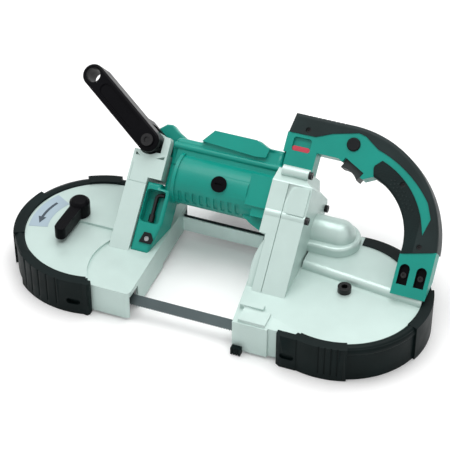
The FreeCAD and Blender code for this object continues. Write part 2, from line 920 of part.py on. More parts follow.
def drive_outline(inset):
    """Plan of the drive casting, moved in by inset."""
    radius = disc_radius - inset
    half = deck_half_width - inset
    edge = disc_x - root(radius * radius - half * half)
    return [
        Corner(d.drive_throat_front_x + inset, -half),
        Corner(edge, -half, arc=radius, side=1, wide=True),
        Corner(edge, half),
        Corner(d.drive_throat_rear_x + inset, half, d.deck_corner),
        Corner(d.drive_throat_rear_x + inset, d.drive_throat_bend_y),
    ]


def plateau_outline(inset):
    """Plan of the raised rear deck over the gears, moved in by inset."""
    radius = disc_radius - d.plateau_inset - inset
    right_y = d.plateau_right_y + inset
    left = d.plateau_left_x + inset
    reach = disc_x - left
    return [
        Corner(left, d.plateau_left_y + inset),
        Corner(disc_x + root(radius * radius - right_y * right_y), right_y, arc=radius, side=1),
        Corner(left, root(radius * radius - reach * reach)),
    ]


def drive_housing():
    """Open-bottomed casting over the drive wheel, with its raised rear deck and front corner block."""
    body = new_body("drive_housing")
    pad(body, "z", d.rim_bottom_z, d.deck_top_z, drive_outline(as_size(0)))
    front = -deck_half_width - d.corner_block_proud
    left = d.drive_throat_front_x
    pad(body, "z", d.rim_bottom_z, d.deck_top_z,
        block(left, front, d.corner_block_right, -d.corner_block_back))
    soften(body, d.deck_edge_round, lambda edge: level(edge, "Z", d.deck_top_z) and edge.BoundBox.XMax
           > disc_x.value)
    pad(body, "z", low_deck_z, d.plateau_top_z, plateau_outline(as_size(0)))
    soften(body, d.plateau_slope, lambda edge: level(edge, "Z", d.plateau_top_z) and edge.BoundBox.YMax
           < d.plateau_left_y.value + EDGE_TOLERANCE)
    pad(body, "z", low_deck_z, d.plateau_top_z, Ring(output_x, output_y, d.dome_radius))
    pocket(body, "z", d.rim_bottom_z - d.overrun, drive_underside_z, drive_outline(d.casting_wall))
    pocket(body, "z", drive_underside_z - d.overrun, d.plateau_top_z - d.plateau_wall,
           plateau_outline(2 * d.plateau_wall))
    bore = d.gear_bearing_radius
    pad(body, "z", drive_underside_z, d.plateau_top_z, Ring(output_x, output_y, bore + d.output_boss_wall))
    pocket(body, "z", drive_underside_z - d.overrun, d.plateau_top_z + d.overrun,
           Ring(output_x, output_y, bore))
    bar_front = -d.corner_bar_back - d.corner_bar_depth
    pad(body, "z", low_deck_z, d.deck_top_z + d.corner_bar_height,
        block(left, bar_front, d.corner_bar_right, -d.corner_bar_back))
    pad(body, "z", low_deck_z, d.deck_top_z + d.corner_step_height,
        block(d.corner_step_left, front + d.corner_block_proud, d.corner_step_right, bar_front))
    wall_left = d.drive_throat_rear_x - d.overrun
    wall_right = d.drive_throat_front_x + d.casting_wall + d.overrun
    inner = deck_half_width - d.casting_wall
    low = d.rim_bottom_z - d.overrun
    pocket(body, "x", wall_left, wall_right, block(-inner, low, -front_slot_y, d.slot_top_z))
    pocket(body, "x", wall_left, wall_right, block(rear_slot_y, d.rear_slot_bottom_z, inner, d.slot_top_z,
                                                   d.casting_wall))
    pocket(body, "z", drive_underside_z - d.overrun, d.deck_top_z + d.overrun,
           Ring(d.drive_wheel_x, 0, d.axle_radius))
    gear_right = d.reduction_left_x + d.reduction_width + d.gear_slot_gap
    pocket(body, "z", drive_underside_z - d.overrun, d.deck_top_z + d.overrun,
           block(d.reduction_left_x - d.gear_slot_gap, counter_y - d.gear_slot_half, gear_right,
                 counter_y + d.gear_slot_half))


# Bumpers


def band_outline(centre_x, inner, outer, start, end):
    """Plan of a rubber band from one angle to another about a casting's centre."""
    wide = abs(end.value - start.value) > STRAIGHT_ANGLE
    places = []
    for radius, angle in ((outer, start), (outer, end), (inner, end), (inner, start)):
        places.append((centre_x + radius * cosine(angle), radius * sine(angle)))
    return [
        Corner(*places[0], arc=outer, side=1, wide=wide),
        Corner(*places[1]),
        Corner(*places[2], arc=inner, side=-1, wide=wide),
        Corner(*places[3]),
    ]


# Angles in degrees about each casting's centre: the whole band, then its thick pads
IDLER_BAND_ANGLES = (98, 284)
IDLER_PAD_ANGLES = ((98, 122), (158, 206), (229, 284))
DRIVE_BAND_ANGLES = (256, 456)
DRIVE_PAD_ANGLES = ((256, 290), (340, 380))
IDLER_GROOVE_ANGLES = (236, 243, 250, 257, 264)
DRIVE_GROOVE_ANGLES = (272, 276, 280, 284)


def bumper(label, centre_x, band, pads, grooves, straight):
    """Rubber band round a casting with thick grooved pads that reach over the deck edge."""
    body = new_body(label)
    inner = disc_radius
    outer = inner + d.bumper_band
    thick = inner + d.bumper_pad
    angles = [as_size(angle) for angle in band]
    pad(body, "z", d.floor_z, d.bumper_band_top_z, band_outline(centre_x, inner, outer, *angles))
    for pair in pads:
        ends = [as_size(angle) for angle in pair]
        pad(body, "z", d.floor_z, d.deck_top_z, band_outline(centre_x, inner, thick, *ends))
        lip = inner - d.bumper_lip
        pad(body, "z", d.deck_top_z, d.bumper_pad_top_z, band_outline(centre_x, lip, thick, *ends))
    pad(body, "z", d.floor_z, d.bumper_pad_top_z, straight)
    for angle in grooves:
        place = as_size(angle)
        half = d.bumper_groove_width / (2 * thick) * STRAIGHT_ANGLE / PI
        floor = thick - d.bumper_groove_depth
        pocket(body, "z", d.bumper_groove_low_z, d.bumper_pad_top_z + d.overrun,
               band_outline(centre_x, floor, thick + d.overrun, place - half, place + half))
    return body


def bumpers():
    """Bumpers of both castings, each with a straight end along the front wall."""
    front = -disc_radius - d.bumper_pad
    wall = -deck_half_width
    reach = root(disc_radius * disc_radius - wall * wall)
    left = bumper("idler_bumper", -disc_x, IDLER_BAND_ANGLES, IDLER_PAD_ANGLES, IDLER_GROOVE_ANGLES,
                  [Corner(-disc_x + reach, wall), Corner(-disc_x + reach, front + d.bumper_edge_round),
                   Corner(-d.idler_pad_end_x - d.bumper_edge_round, front + d.bumper_edge_round),
                   Corner(-d.idler_pad_end_x, front + d.bumper_band), Corner(-d.idler_pad_end_x, wall)])
    right = bumper("drive_bumper", disc_x, DRIVE_BAND_ANGLES, DRIVE_PAD_ANGLES, DRIVE_GROOVE_ANGLES,
                   [Corner(d.drive_pad_end_x, wall), Corner(d.drive_pad_end_x, front + d.bumper_band),
                    Corner(d.drive_pad_end_x + d.bumper_band, front + d.bumper_edge_round),
                    Corner(disc_x - reach, front + d.bumper_edge_round), Corner(disc_x - reach, wall)])
    for body, x in ((left, -d.idler_slot_x), (right, d.drive_slot_x)):
        half = d.bumper_slot_length / 2
        low, high = d.bumper_slot_z - d.bumper_slot_height / 2, d.bumper_slot_z + d.bumper_slot_height / 2
        pocket(body, "y", front - d.overrun, front + d.bumper_slot_depth, [
            Corner(x - half, low), Corner(x + half, low, arc=HALF_TURN), Corner(x + half, high),
            Corner(x - half, high, arc=HALF_TURN),
        ])


# Wheels, tyres and blade


def wheel(label, centre_x, gear_seat):
    """Cast wheel with hub, drilled web and rim."""
    body = new_body(label)
    web_low = d.blade_mid_z - d.web_thickness / 2
    web_high = web_low + d.web_thickness
    rim_low = tyre_bottom_z
    rim_high = tyre_bottom_z + tyre_width
    rim_inner = rim_radius - d.rim_thickness
    bore = d.wheel_bearing_radius
    section = [
        Corner(bore, d.hub_bottom_z), Corner(d.hub_radius, d.hub_bottom_z), Corner(d.hub_radius, web_low),
        Corner(rim_inner, web_low), Corner(rim_inner, rim_low), Corner(rim_radius, rim_low),
        Corner(rim_radius, rim_high), Corner(rim_inner, rim_high), Corner(rim_inner, web_high),
    ]
    if gear_seat:
        outer = wheel_gear_radius - SEAT_MODULES * d.wheel_module
        section += [Corner(outer, web_high), Corner(outer, d.wheel_gear_bottom_z),
                    Corner(d.wheel_gear_bore - d.web_thickness, d.wheel_gear_bottom_z),
                    Corner(d.wheel_gear_bore - d.web_thickness, web_high)]
    section += [Corner(d.hub_radius, web_high), Corner(d.hub_radius, d.hub_top_z), Corner(bore, d.hub_top_z)]
    base = turn(body, "z", (centre_x, as_size(0)), section)
    reach = (d.hub_radius + d.wheel_gear_bore - d.web_thickness) / 2 if gear_seat else d.web_hole_reach
    radius = d.web_hole_radius if not gear_seat else d.web_hole_radius * WHEEL_HOLE_SHARE
    hole = pocket(body, "z", web_low - d.overrun, web_high + d.overrun, Ring(centre_x + reach, 0, radius))
    polar(body, hole, base.Profile[0], "V_Axis", WHEEL_HOLES)
    return body


WHEEL_HOLES = 6
WHEEL_HOLE_SHARE = 0.8
SEAT_MODULES = 4


def wheels():
    """Both wheels with their tyres and bearings."""
    for side, x in (("drive", d.drive_wheel_x), ("idler", idler_x)):
        place = (x, as_size(0))
        wheel(f"{side}_wheel", x, side == "drive")
        tyre = new_body(f"{side}_tyre")
        low, high = tyre_bottom_z, tyre_bottom_z + tyre_width
        crown = tyre_radius - d.tyre_overhang
        turn(tyre, "z", place, [Corner(rim_radius, low), Corner(crown, low),
                                Corner(tyre_radius, low + d.tyre_overhang),
                                Corner(tyre_radius, high - d.tyre_overhang), Corner(crown, high),
                                Corner(rim_radius, high)])
        bearings = []
        for bottom in (d.hub_bottom_z, d.hub_top_z - d.wheel_bearing_width):
            ring = loose_body()
            turn(ring, "z", place, tube(d.axle_radius + d.shaft_fit, d.wheel_bearing_radius, bottom,
                                        bottom + d.wheel_bearing_width))
            bearings.append(ring)
        group(f"{side}_bearings", FLAT, bearings)


def axle_section(top):
    """Section of a wheel axle with its flange above and its nut below the hub."""
    flange_low = top - d.axle_flange_height
    nut_top = d.hub_bottom_z - d.running_gap
    nut_low = nut_top - d.axle_nut_height
    return [
        Corner(0, d.axle_bottom_z), Corner(d.axle_radius, d.axle_bottom_z), Corner(d.axle_radius, nut_low),
        Corner(d.axle_nut_radius, nut_low), Corner(d.axle_nut_radius, nut_top),
        Corner(d.axle_radius, nut_top), Corner(d.axle_radius, flange_low),
        Corner(d.axle_flange_radius, flange_low), Corner(d.axle_flange_radius, top),
    ]


def drive_axle():
    """Fixed axle of the drive wheel with its socket head on top of the deck."""
    body = new_body("drive_axle")
    head_top = d.deck_top_z + d.axle_head_height
    section = axle_section(drive_underside_z) + [
        Corner(d.axle_radius, drive_underside_z), Corner(d.axle_radius, d.deck_top_z),
        Corner(d.axle_head_radius, d.deck_top_z), Corner(d.axle_head_radius, head_top), Corner(0, head_top),
    ]
    place = (d.drive_wheel_x, as_size(0))
    turn(body, "z", place, section)
    pocket(body, "z", d.deck_top_z + d.overrun, head_top + d.overrun, hexagon(d.drive_wheel_x, as_size(0),
                                                                             d.axle_socket_radius))


def hexagon(x, y, radius):
    """Six corners about a centre."""
    angles = [as_size(FULL_TURN * i / HEX_SIDES) for i in range(HEX_SIDES)]
    return [Corner(x + radius * cosine(angle), y + radius * sine(angle)) for angle in angles]


def blade_section(x, y, z, twist, width, thickness):
    """Rectangle of the blade at a place along X, twisted about X."""
    across = Vector(0, math.sin(twist), math.cos(twist)) * (width / 2)
    through = Vector(0, math.cos(twist), -math.sin(twist)) * (thickness / 2)
    centre = Vector(x, y, z)
    points = [centre - across - through, centre + across - through, centre + across + through,
              centre - across + through]
    return Part.makePolygon(points + points[:1])


TWIST_STEPS = 6


def saw_blade():
    """Toothed band over both wheels; the front run is twisted by the guides."""
    width, thick = d.blade_width.value, d.blade_thickness.value
    radius, middle = d.wheel_radius.value, d.blade_mid_z.value
    x_drive, x_idler = d.drive_wheel_x.value, idler_x.value
    full = math.radians(d.head_tilt.value)
    x_left = -d.idler_throat_x.value - d.guide_inset.value - d.guide_length.value
    x_right = d.drive_throat_front_x.value + d.guide_inset.value + d.guide_length.value
    runs = []
    for centre_x, start in ((x_drive, -RIGHT_ANGLE), (x_idler, RIGHT_ANGLE)):
        near, far = radius - thick / 2, radius + thick / 2
        low, high = middle - width / 2, middle + width / 2
        corners = ((near, low), (far, low), (far, high), (near, high), (near, low))
        section = Part.makePolygon([Vector(across, 0, up) for across, up in corners])
        half = Part.Face(section).revolve(Vector(0, 0, 0), Vector(0, 0, 1), STRAIGHT_ANGLE)
        half.rotate(Vector(0, 0, 0), Vector(0, 0, 1), start)
        half.translate(Vector(centre_x, 0, 0))
        runs.append(half)
    back = [blade_section(x, radius, middle, 0, width, thick) for x in (x_idler, x_drive)]
    runs.append(Part.makeLoft(back, True, True))
    x_twist = x_idler + 2 * d.slack_travel.value
    straight = [blade_section(x, -radius, middle, 0, width, thick) for x in (x_idler, x_twist)]
    runs.append(Part.makeLoft(straight, True, True))
    for x_wheel, x_guide in ((x_twist, x_left), (x_drive, x_right)):
        steps = [i / TWIST_STEPS for i in range(TWIST_STEPS + 1)]
        wires = [blade_section(x_wheel + (x_guide - x_wheel) * step, -radius, middle, full * step, width,
                               thick) for step in steps]
        runs += [Part.makeLoft(list(pair), True, True) for pair in zip(wires, wires[1:])]
    runs.append(toothed_run(x_left, x_right, full, width, thick))
    band = runs[0].fuse(runs[1:]).removeSplitter()
    solid("saw_blade", band.Solids[0])


def toothed_run(left, right, twist, width, thick):
    """Front run between the guides, with teeth along its lower edge in use."""
    pitch, depth = d.tooth_pitch.value, d.tooth_depth.value
    count = int((right - left) / pitch) - 2
    start = (left + right - count * pitch) / 2
    points = [Vector(left, width / 2, 0), Vector(left, -width / 2, 0)]
    for i in range(count):
        points += [Vector(start + i * pitch, -width / 2, 0), Vector(start + i * pitch, depth - width / 2, 0)]
    points += [Vector(start + count * pitch, -width / 2, 0), Vector(right, -width / 2, 0),
               Vector(right, width / 2, 0)]
    run = Part.Face(Part.makePolygon(points + points[:1])).extrude(Vector(0, 0, thick))
    run.translate(Vector(0, 0, -thick / 2))
    run.rotate(Vector(0, 0, 0), Vector(1, 0, 0), RIGHT_ANGLE - math.degrees(twist))
    run.translate(Vector(0, -d.wheel_radius.value, d.blade_mid_z.value))
    return run


def rear_guard():
    """Plate between the castings in front of the return run."""
    body = new_body("rear_guard")
    low = d.guard_bottom_z
    high = low + d.guard_height
    pad(body, "x", -d.idler_throat_x, d.drive_throat_rear_x,
        block(guard_y, low, guard_y + d.guard_thickness, high))


def stop_shoe():
    """Ribbed stop under the front corner block, which the work rests against."""
    body = new_body("stop_shoe")
    back = -deck_half_width - d.corner_block_proud
    low = d.stop_bottom_z
    high = low + d.stop_height
    left = d.stop_left_x
    pad(body, "z", low, high, block(left, back - d.stop_reach, left + d.stop_width, back))
    for i in range(STOP_GROOVES):
        x = left + d.stop_width * (i + 1) / (STOP_GROOVES + 1)
        pocket(body, "z", low - d.overrun, high + d.overrun,
               block(x - d.stop_groove / 2, back - d.stop_reach - d.overrun, x + d.stop_groove / 2,
                     back - d.stop_reach + d.stop_groove))


STOP_GROOVES = 3


# Blade guides


def tilted_box(x, up, front, length, height, depth):
    """Box on the tilted planes, given by its middle and its three sizes."""
    shape = Part.makeBox(length, height, depth, Vector(x - length / 2, up - height / 2, front - depth / 2))
    shape.rotate(Vector(0, 0, 0), Vector(1, 0, 0), d.head_tilt.value)
    return shape


def tilted_pin(x, up, front, direction, radius, length):
    """Round bar on the tilted planes, given by its middle."""
    base = Vector(x, up, front) - direction * (length / 2)
    shape = Part.makeCylinder(radius, length, base, direction)
    shape.rotate(Vector(0, 0, 0), Vector(1, 0, 0), d.head_tilt.value)
    return shape


UP, FRONT = Vector(0, 1, 0), Vector(0, 0, 1)


def guide(side, face_x, outward, underside):
    """Guide block under the deck with two face rollers and one back roller.

    face_x is the throat end of the block and outward points along X away from the throat.
    """
    up, front = blade_up.value, blade_front.value
    gap, length = d.roller_pocket_gap.value, d.roller_length.value
    radius, back_radius = d.roller_radius.value, d.back_roller_radius.value
    pin, fit = d.roller_pin_radius.value, d.shaft_fit.value
    reach = d.roller_pin_reach.value
    block_length = d.guide_length.value
    x_low = min(face_x, face_x + outward * block_length)
    low = d.guide_bottom_z.value
    shape = Part.makeBox(block_length, guide_front_y.value - guide_back_y.value, underside - low,
                         Vector(x_low, -guide_front_y.value, low))
    x_middle = x_low + block_length / 2
    wide = 2 * guide_front_y.value
    cut = block_length + d.overrun.value
    channel_top = up + d.blade_width.value / 2 + d.guide_side_gap.value
    shape = shape.cut(tilted_box(x_middle, channel_top - wide / 2, front, cut, wide,
                                 2 * d.guide_side_gap.value))
    x_face = face_x + outward * d.side_roller_inset.value
    x_back = face_x + outward * d.back_roller_inset.value
    offset = d.blade_thickness.value / 2 + d.roller_gap.value + radius
    tools = []
    for sign, name in ((1, "front"), (-1, "rear")):
        middle = front + sign * offset
        tools.append(tilted_box(x_face, up, middle, 2 * (radius + gap), length + 2 * gap, 2 * (radius + gap)))
        tools.append(tilted_pin(x_face, up, middle, UP, pin + fit, length + 2 * (reach + gap)))
        roller = tilted_pin(x_face, up, middle, UP, radius, length)
        roller = roller.fuse(tilted_pin(x_face, up, middle, UP, pin, length + 2 * reach))
        solid(f"{side}_guide_roller_{name}", roller.removeSplitter())
    back_length = d.back_roller_length.value
    back_up = up + d.blade_width.value / 2 + d.roller_gap.value + back_radius
    pocket_size = 2 * (back_radius + gap)
    tools.append(tilted_box(x_back, back_up, front, pocket_size, pocket_size, back_length + 2 * gap))
    tools.append(tilted_pin(x_back, back_up, front, FRONT, pin + fit, back_length + 2 * (reach + gap)))
    roller = tilted_pin(x_back, back_up, front, FRONT, back_radius, back_length)
    roller = roller.fuse(tilted_pin(x_back, back_up, front, FRONT, pin, back_length + 2 * reach))
    solid(f"{side}_guide_roller_back", roller.removeSplitter())
    for tool in tools:
        shape = shape.cut(tool)
    solid(f"{side}_guide", max(shape.Solids, key=lambda item: item.Volume))


def guides():
    """Guides on both sides of the throat."""
    inset = d.guide_inset.value + d.casting_wall.value
    guide("idler", -d.idler_throat_x.value - inset, -1, idler_underside_z.value)
    guide("drive", d.drive_throat_front_x.value + inset, 1, drive_underside_z.value)


# Idler carriage, spring and tension lever

spring_x = idler_x + d.carriage_right
spring_z = idler_underside_z - d.running_gap - d.carriage_height / 2


def idler_carriage():
    """Sliding plate under the deck that carries the idler axle and takes the lever's pin."""
    body = new_body("idler_carriage")
    top = idler_underside_z - d.running_gap
    low = top - d.carriage_height
    place = (idler_x, as_size(0))
    turn(body, "z", place, axle_section(top) + [Corner(0, top)])
    half = d.carriage_half_width
    left = idler_x - d.carriage_left
    right = idler_x + d.carriage_right
    ear = d.carriage_ear_half
    plate = [
        Corner(left, -half, d.casting_wall), Corner(right, -half, d.casting_wall), Corner(right, half),
        Corner(pin_x + ear, half), Corner(pin_x + ear, d.carriage_ear_reach, d.casting_wall),
        Corner(pin_x - ear, d.carriage_ear_reach, d.casting_wall), Corner(pin_x - ear, half),
        Corner(left, half, d.casting_wall),
    ]
    pad(body, "z", low, top, plate)
    slot_half = d.lever_pin_radius + d.lever_slot_gap
    slot_low = d.lever_y + lever_throw * cosine(d.lever_swing / 2) - slot_half
    slot_high = d.lever_y + lever_throw + slot_half
    pocket(body, "z", low - d.overrun, top + d.overrun,
           block(pin_x - slot_half, slot_low, pin_x + slot_half, slot_high))


def tension_spring():
    """Coil spring seated on the end of the carriage."""
    pitch, turns, radius = d.spring_pitch.value, int(d.spring_turns.value), d.spring_radius.value
    edges = []
    for quarter in range(4 * turns):
        points = []
        for part in (0, 1, 2):
            angle = math.pi / 2 * (quarter + part / 2)
            points.append(Vector(pitch * angle / (2 * math.pi), radius * math.cos(angle),
                                 radius * math.sin(angle)))
        edges.append(Part.Arc(*points).toShape())
    path = Part.Wire(edges)
    start = edges[0].tangentAt(edges[0].FirstParameter)
    circle = Part.Wire(Part.makeCircle(d.spring_wire.value / 2, edges[0].Vertexes[0].Point, start))
    coil = path.makePipeShell([circle], True, False)
    coil.translate(Vector(spring_x.value + d.spring_wire.value / 2 + d.shaft_fit.value, 0, spring_z.value))
    solid("tension_spring", coil)


def tension_lever():
    """Lever on the deck whose spindle carries the throw pin under it."""
    body = new_body("tension_lever")
    place = (-d.lever_x, d.lever_y)
    low = lever_floor_z + d.running_gap
    turn(body, "z", place, [
        Corner(0, idler_underside_z), Corner(d.lever_spindle_radius, idler_underside_z),
        Corner(d.lever_spindle_radius, low), Corner(d.lever_hub_radius, low),
        Corner(d.lever_hub_radius, d.lever_hub_top_z - d.lever_spindle_radius / 2),
        Corner(d.lever_hub_radius - d.lever_spindle_radius / 2, d.lever_hub_top_z),
        Corner(0, d.lever_hub_top_z),
    ])
    half = d.lever_width / 2
    tip_x = -d.lever_x - d.lever_lean
    tip_y = d.lever_y - d.lever_reach
    pad(body, "z", d.lever_arm_bottom_z, d.lever_arm_top_z, [
        Corner(-d.lever_x - half, d.lever_y), Corner(tip_x - half, tip_y + half, arc=HALF_TURN),
        Corner(tip_x + half, tip_y + half), Corner(-d.lever_x + half, d.lever_y),
    ])
    pin_y = d.lever_y + lever_throw * cosine(d.lever_swing / 2)
    pad(body, "z", idler_underside_z - d.carriage_height, idler_underside_z,
        Ring(pin_x, pin_y, d.lever_pin_radius))


# Motor


def motor_housing():
    """Teal barrel with the body above it and the hump along its top."""
    body = new_body("motor_housing", TILTED)
    left, right = -d.body_left_x, d.motor_right_x
    pad(body, "z", -d.body_back, d.body_front, [
        Corner(left, d.body_bottom_up), Corner(right, d.body_bottom_up), Corner(right, d.body_right_up),
        Corner(d.hump_tail_x, d.body_right_up, d.hump_corner),
        Corner(d.hump_right_x, d.hump_top_up, d.hump_corner),
        Corner(-d.hump_left_x + d.hump_corner, d.hump_top_up, d.hump_corner),
        Corner(-d.hump_left_x, d.body_top_up, d.body_corner), Corner(left, d.body_top_up, d.body_corner),
    ])
    soften(body, d.body_corner, lambda edge: level(edge, "Z", d.body_front) and edge.BoundBox.YMax
           > d.body_top_up.value - EDGE_TOLERANCE)
    place = (d.motor_up, d.motor_front)
    mid_left = -d.motor_left_x
    flange = d.barrel_radius + d.barrel_flange
    turn(body, "x", place, [
        Corner(mid_left, 0), Corner(right, 0), Corner(right, d.barrel_radius),
        Corner(mid_left + d.barrel_flange_width, d.barrel_radius),
        Corner(mid_left + d.barrel_flange_width, flange), Corner(mid_left, flange),
    ])
    bore = d.barrel_radius - d.barrel_wall
    seat = d.shaft_collar
    end = mid_left + d.motor_end_wall
    turn(body, "x", place, [
        Corner(mid_left + d.barrel_flange, 0), Corner(right + d.overrun, 0), Corner(right + d.overrun, bore),
        Corner(end, bore), Corner(end, seat), Corner(mid_left + d.barrel_flange, seat),
    ], "Groove")
    for low, high in ((d.motor_front, d.motor_front + d.barrel_radius + d.overrun),
                      (d.motor_front - d.barrel_radius - d.overrun, d.motor_front)):
        pocket(body, "z", low, high, Ring(-d.brush_x, d.motor_up, d.brush_radius))
    neck = -d.body_back - d.pack_rail_depth
    for x in pack_rail_places():
        for half, low, high in ((d.pack_rail_half, neck, d.overrun - d.body_back),
                                (d.pack_rail_flange, neck - d.pack_rail_depth, neck)):
            pad(body, "z", low, high, block(x - half, d.pack_low_up, x + half, d.pack_rail_top_up))


def brush_caps():
    """Slotted caps over the motor brushes, one in front and one behind."""
    caps = []
    for sign in (1, -1):
        cap = loose_body()
        outer = d.motor_front + sign * (d.barrel_radius + d.brush_proud)
        inner = d.motor_front + sign * (d.barrel_radius - d.brush_depth)
        low, high = (inner, outer) if sign > 0 else (outer, inner)
        pad(cap, "z", low, high, Ring(-d.brush_x, d.motor_up, d.brush_radius))
        slot_low, slot_high = (outer - d.brush_slot, outer + d.overrun)
        if sign < 0:
            slot_low, slot_high = (outer - d.overrun, outer + d.brush_slot)
        pocket(cap, "z", slot_low, slot_high,
               block(-d.brush_x - d.brush_radius / 2, d.motor_up - d.brush_slot / 2,
                     -d.brush_x + d.brush_radius / 2, d.motor_up + d.brush_slot / 2))
        caps.append(cap)
    group("brush_caps", TILTED, caps)


FAN_BLADES = 9


def motor_inside():
    """Stator in the barrel, and the armature and fan on the shaft."""
    place = (d.motor_up, d.motor_front)
    stator = new_body("motor_stator", TILTED)
    turn(stator, "x", place, sleeve(d.stator_inner, d.barrel_radius - d.barrel_wall, -d.stator_left_x,
                                    d.stator_right_x))
    armature = new_body("motor_armature", TILTED)
    shaft = d.motor_shaft_radius
    turn(armature, "x", place, [
        Corner(-d.commutator_left_x, shaft), Corner(d.armature_right_x, shaft),
        Corner(d.armature_right_x, d.armature_radius), Corner(-d.armature_left_x, d.armature_radius),
        Corner(-d.armature_left_x, d.shaft_collar), Corner(-d.commutator_right_x, d.shaft_collar),
        Corner(-d.commutator_right_x, d.commutator_radius), Corner(-d.commutator_left_x, d.commutator_radius),
    ])
    fan = new_body("cooling_fan", TILTED)
    left = d.fan_left_x
    plate = left + d.fan_plate
    base = turn(fan, "x", place, [
        Corner(left, shaft), Corner(left + d.fan_width, shaft), Corner(left + d.fan_width, d.shaft_collar),
        Corner(plate, d.shaft_collar), Corner(plate, d.fan_radius), Corner(left, d.fan_radius),
    ])
    half = d.fan_blade_thickness / 2
    blade = pad(fan, "x", left, left + d.fan_width,
                block(d.motor_up + d.shaft_collar - d.fan_plate, d.motor_front - half,
                      d.motor_up + d.fan_radius, d.motor_front + half))
    polar(fan, blade, base.Profile[0], "H_Axis", FAN_BLADES)


# Gears

ADDENDUM_SHARE = 0.7
DEDENDUM_SHARE = 1.0
PRESSURE_ANGLE = math.radians(20)


def involute(angle):
    """Involute function of an angle in radians."""
    return math.tan(angle) - angle


def tooth_half_angle(radius, pitch, teeth, backlash):
    """Half the angle of an involute tooth at a radius."""
    base = pitch * math.cos(PRESSURE_ANGLE)
    here = math.acos(min(base / max(radius, base), 1))
    half = math.pi / (2 * teeth) - backlash / (4 * pitch)
    return half + involute(PRESSURE_ANGLE) - involute(here)


FLANK_SHARES = (0.0, 0.3, 0.62, 1.0)


def spur_face(teeth, module, first_angle):
    """Face of a spur gear with a tooth at first_angle."""
    pitch = module * teeth / 2
    low = pitch - DEDENDUM_SHARE * module
    high = pitch + ADDENDUM_SHARE * module
    radii = [low + (high - low) * share for share in FLANK_SHARES]
    points = []
    for i in range(teeth):
        middle = first_angle + 2 * math.pi * i / teeth
        for sign, row in ((-1, radii), (1, radii[::-1])):
            for radius in row:
                angle = middle + sign * tooth_half_angle(radius, pitch, teeth, d.gear_backlash.value)
                points.append(Vector(radius * math.cos(angle), radius * math.sin(angle), 0))
    return Part.Face(Part.makePolygon(points + points[:1]))


def along_x(shape, x, y, z):
    """Turns an upright shape so that its axis runs along X, keeping its first axis along Y."""
    shape.rotate(Vector(0, 0, 0), Vector(1, 1, 1), FULL_TURN / 3)
    shape.translate(Vector(x, y, z))
    return shape


def motor_shaft():
    """Motor shaft with the pinion cut into its end."""
    teeth = int(d.motor_pinion_teeth.value)
    towards = math.atan2(counter_z.value - motor_z.value, counter_y.value - motor_y.value)
    left = d.reduction_left_x.value - d.overrun.value
    pinion = spur_face(teeth, d.spur_module.value, towards).extrude(Vector(0, 0, d.motor_pinion_width.value))
    shape = along_x(pinion, left, motor_y.value, motor_z.value)
    start = -d.motor_left_x.value + d.barrel_flange.value + d.running_gap.value
    bar = Part.makeCylinder(d.motor_shaft_radius.value, left - start,
                            Vector(start, motor_y.value, motor_z.value), Vector(1, 0, 0))
    solid("motor_shaft", shape.fuse(bar))


def reduction_gear():
    """Large spur gear on the counter shaft."""
    teeth = int(d.reduction_teeth.value)
    towards = math.atan2(motor_z.value - counter_z.value, motor_y.value - counter_y.value)
    face = spur_face(teeth, d.spur_module.value, towards + math.pi / teeth)
    hole = Part.Face(Part.Wire(Part.makeCircle(d.counter_radius.value)))
    gear = face.cut(hole).extrude(Vector(0, 0, d.reduction_width.value))
    solid("reduction_gear", along_x(gear, d.reduction_left_x.value, counter_y.value, counter_z.value))


def bevel_teeth(teeth, pitch, mate, first_angle):
    """Teeth of a bevel gear on the upright axis with its point at the origin, opening downwards."""
    reach = math.hypot(pitch, mate)
    cone = math.atan2(pitch, mate)
    module = 2 * pitch / teeth
    virtual = pitch / math.cos(cone)
    high = ADDENDUM_SHARE * module
    low = -DEDENDUM_SHARE * module
    sunk = low - module / 2
    ends = (1.0, (reach - d.bevel_face.value) / reach)
    element = Vector(math.sin(cone), 0, -math.cos(cone))
    outward = Vector(math.cos(cone), 0, math.sin(cone))
    profile = []
    for height in (sunk, low, 0.0, high):
        half = tooth_half_angle(virtual + max(height, low), virtual, virtual * 2 / module,
                                d.gear_backlash.value)
        profile.append((height, half * virtual))
    made = []
    for i in range(teeth):
        wires = []
        for share in ends:
            row = [(h, w) for h, w in profile] + [(h, -w) for h, w in profile[::-1]]
            points = [(element * reach + outward * h + Vector(0, w, 0)) * share for h, w in row]
            wires.append(Part.makePolygon(points + points[:1]))
        tooth = Part.makeLoft(wires, True, True)
        tooth.rotate(Vector(0, 0, 0), Vector(0, 0, 1), math.degrees(first_angle) + FULL_TURN * i / teeth)
        made.append(tooth)
    return made


def bevel_blank(teeth, pitch, mate, hub_radius, hub_low):
    """Cone under the teeth of a bevel gear, with its hub below."""
    reach = math.hypot(pitch, mate)
    cone = math.atan2(pitch, mate)
    low = DEDENDUM_SHARE * 2 * pitch / teeth
    share = (reach - d.bevel_face.value) / reach
    outer = (pitch - low * math.cos(cone), -mate - low * math.sin(cone))
    inner = (outer[0] * share, outer[1] * share)
    points = [(0, inner[1]), inner, outer, (hub_radius, outer[1]), (hub_radius, hub_low), (0, hub_low)]
    face = Part.Face(Part.makePolygon([Vector(x, 0, z) for x, z in points + points[:1]]))
    return face.revolve(Vector(0, 0, 0), Vector(0, 0, 1), FULL_TURN)


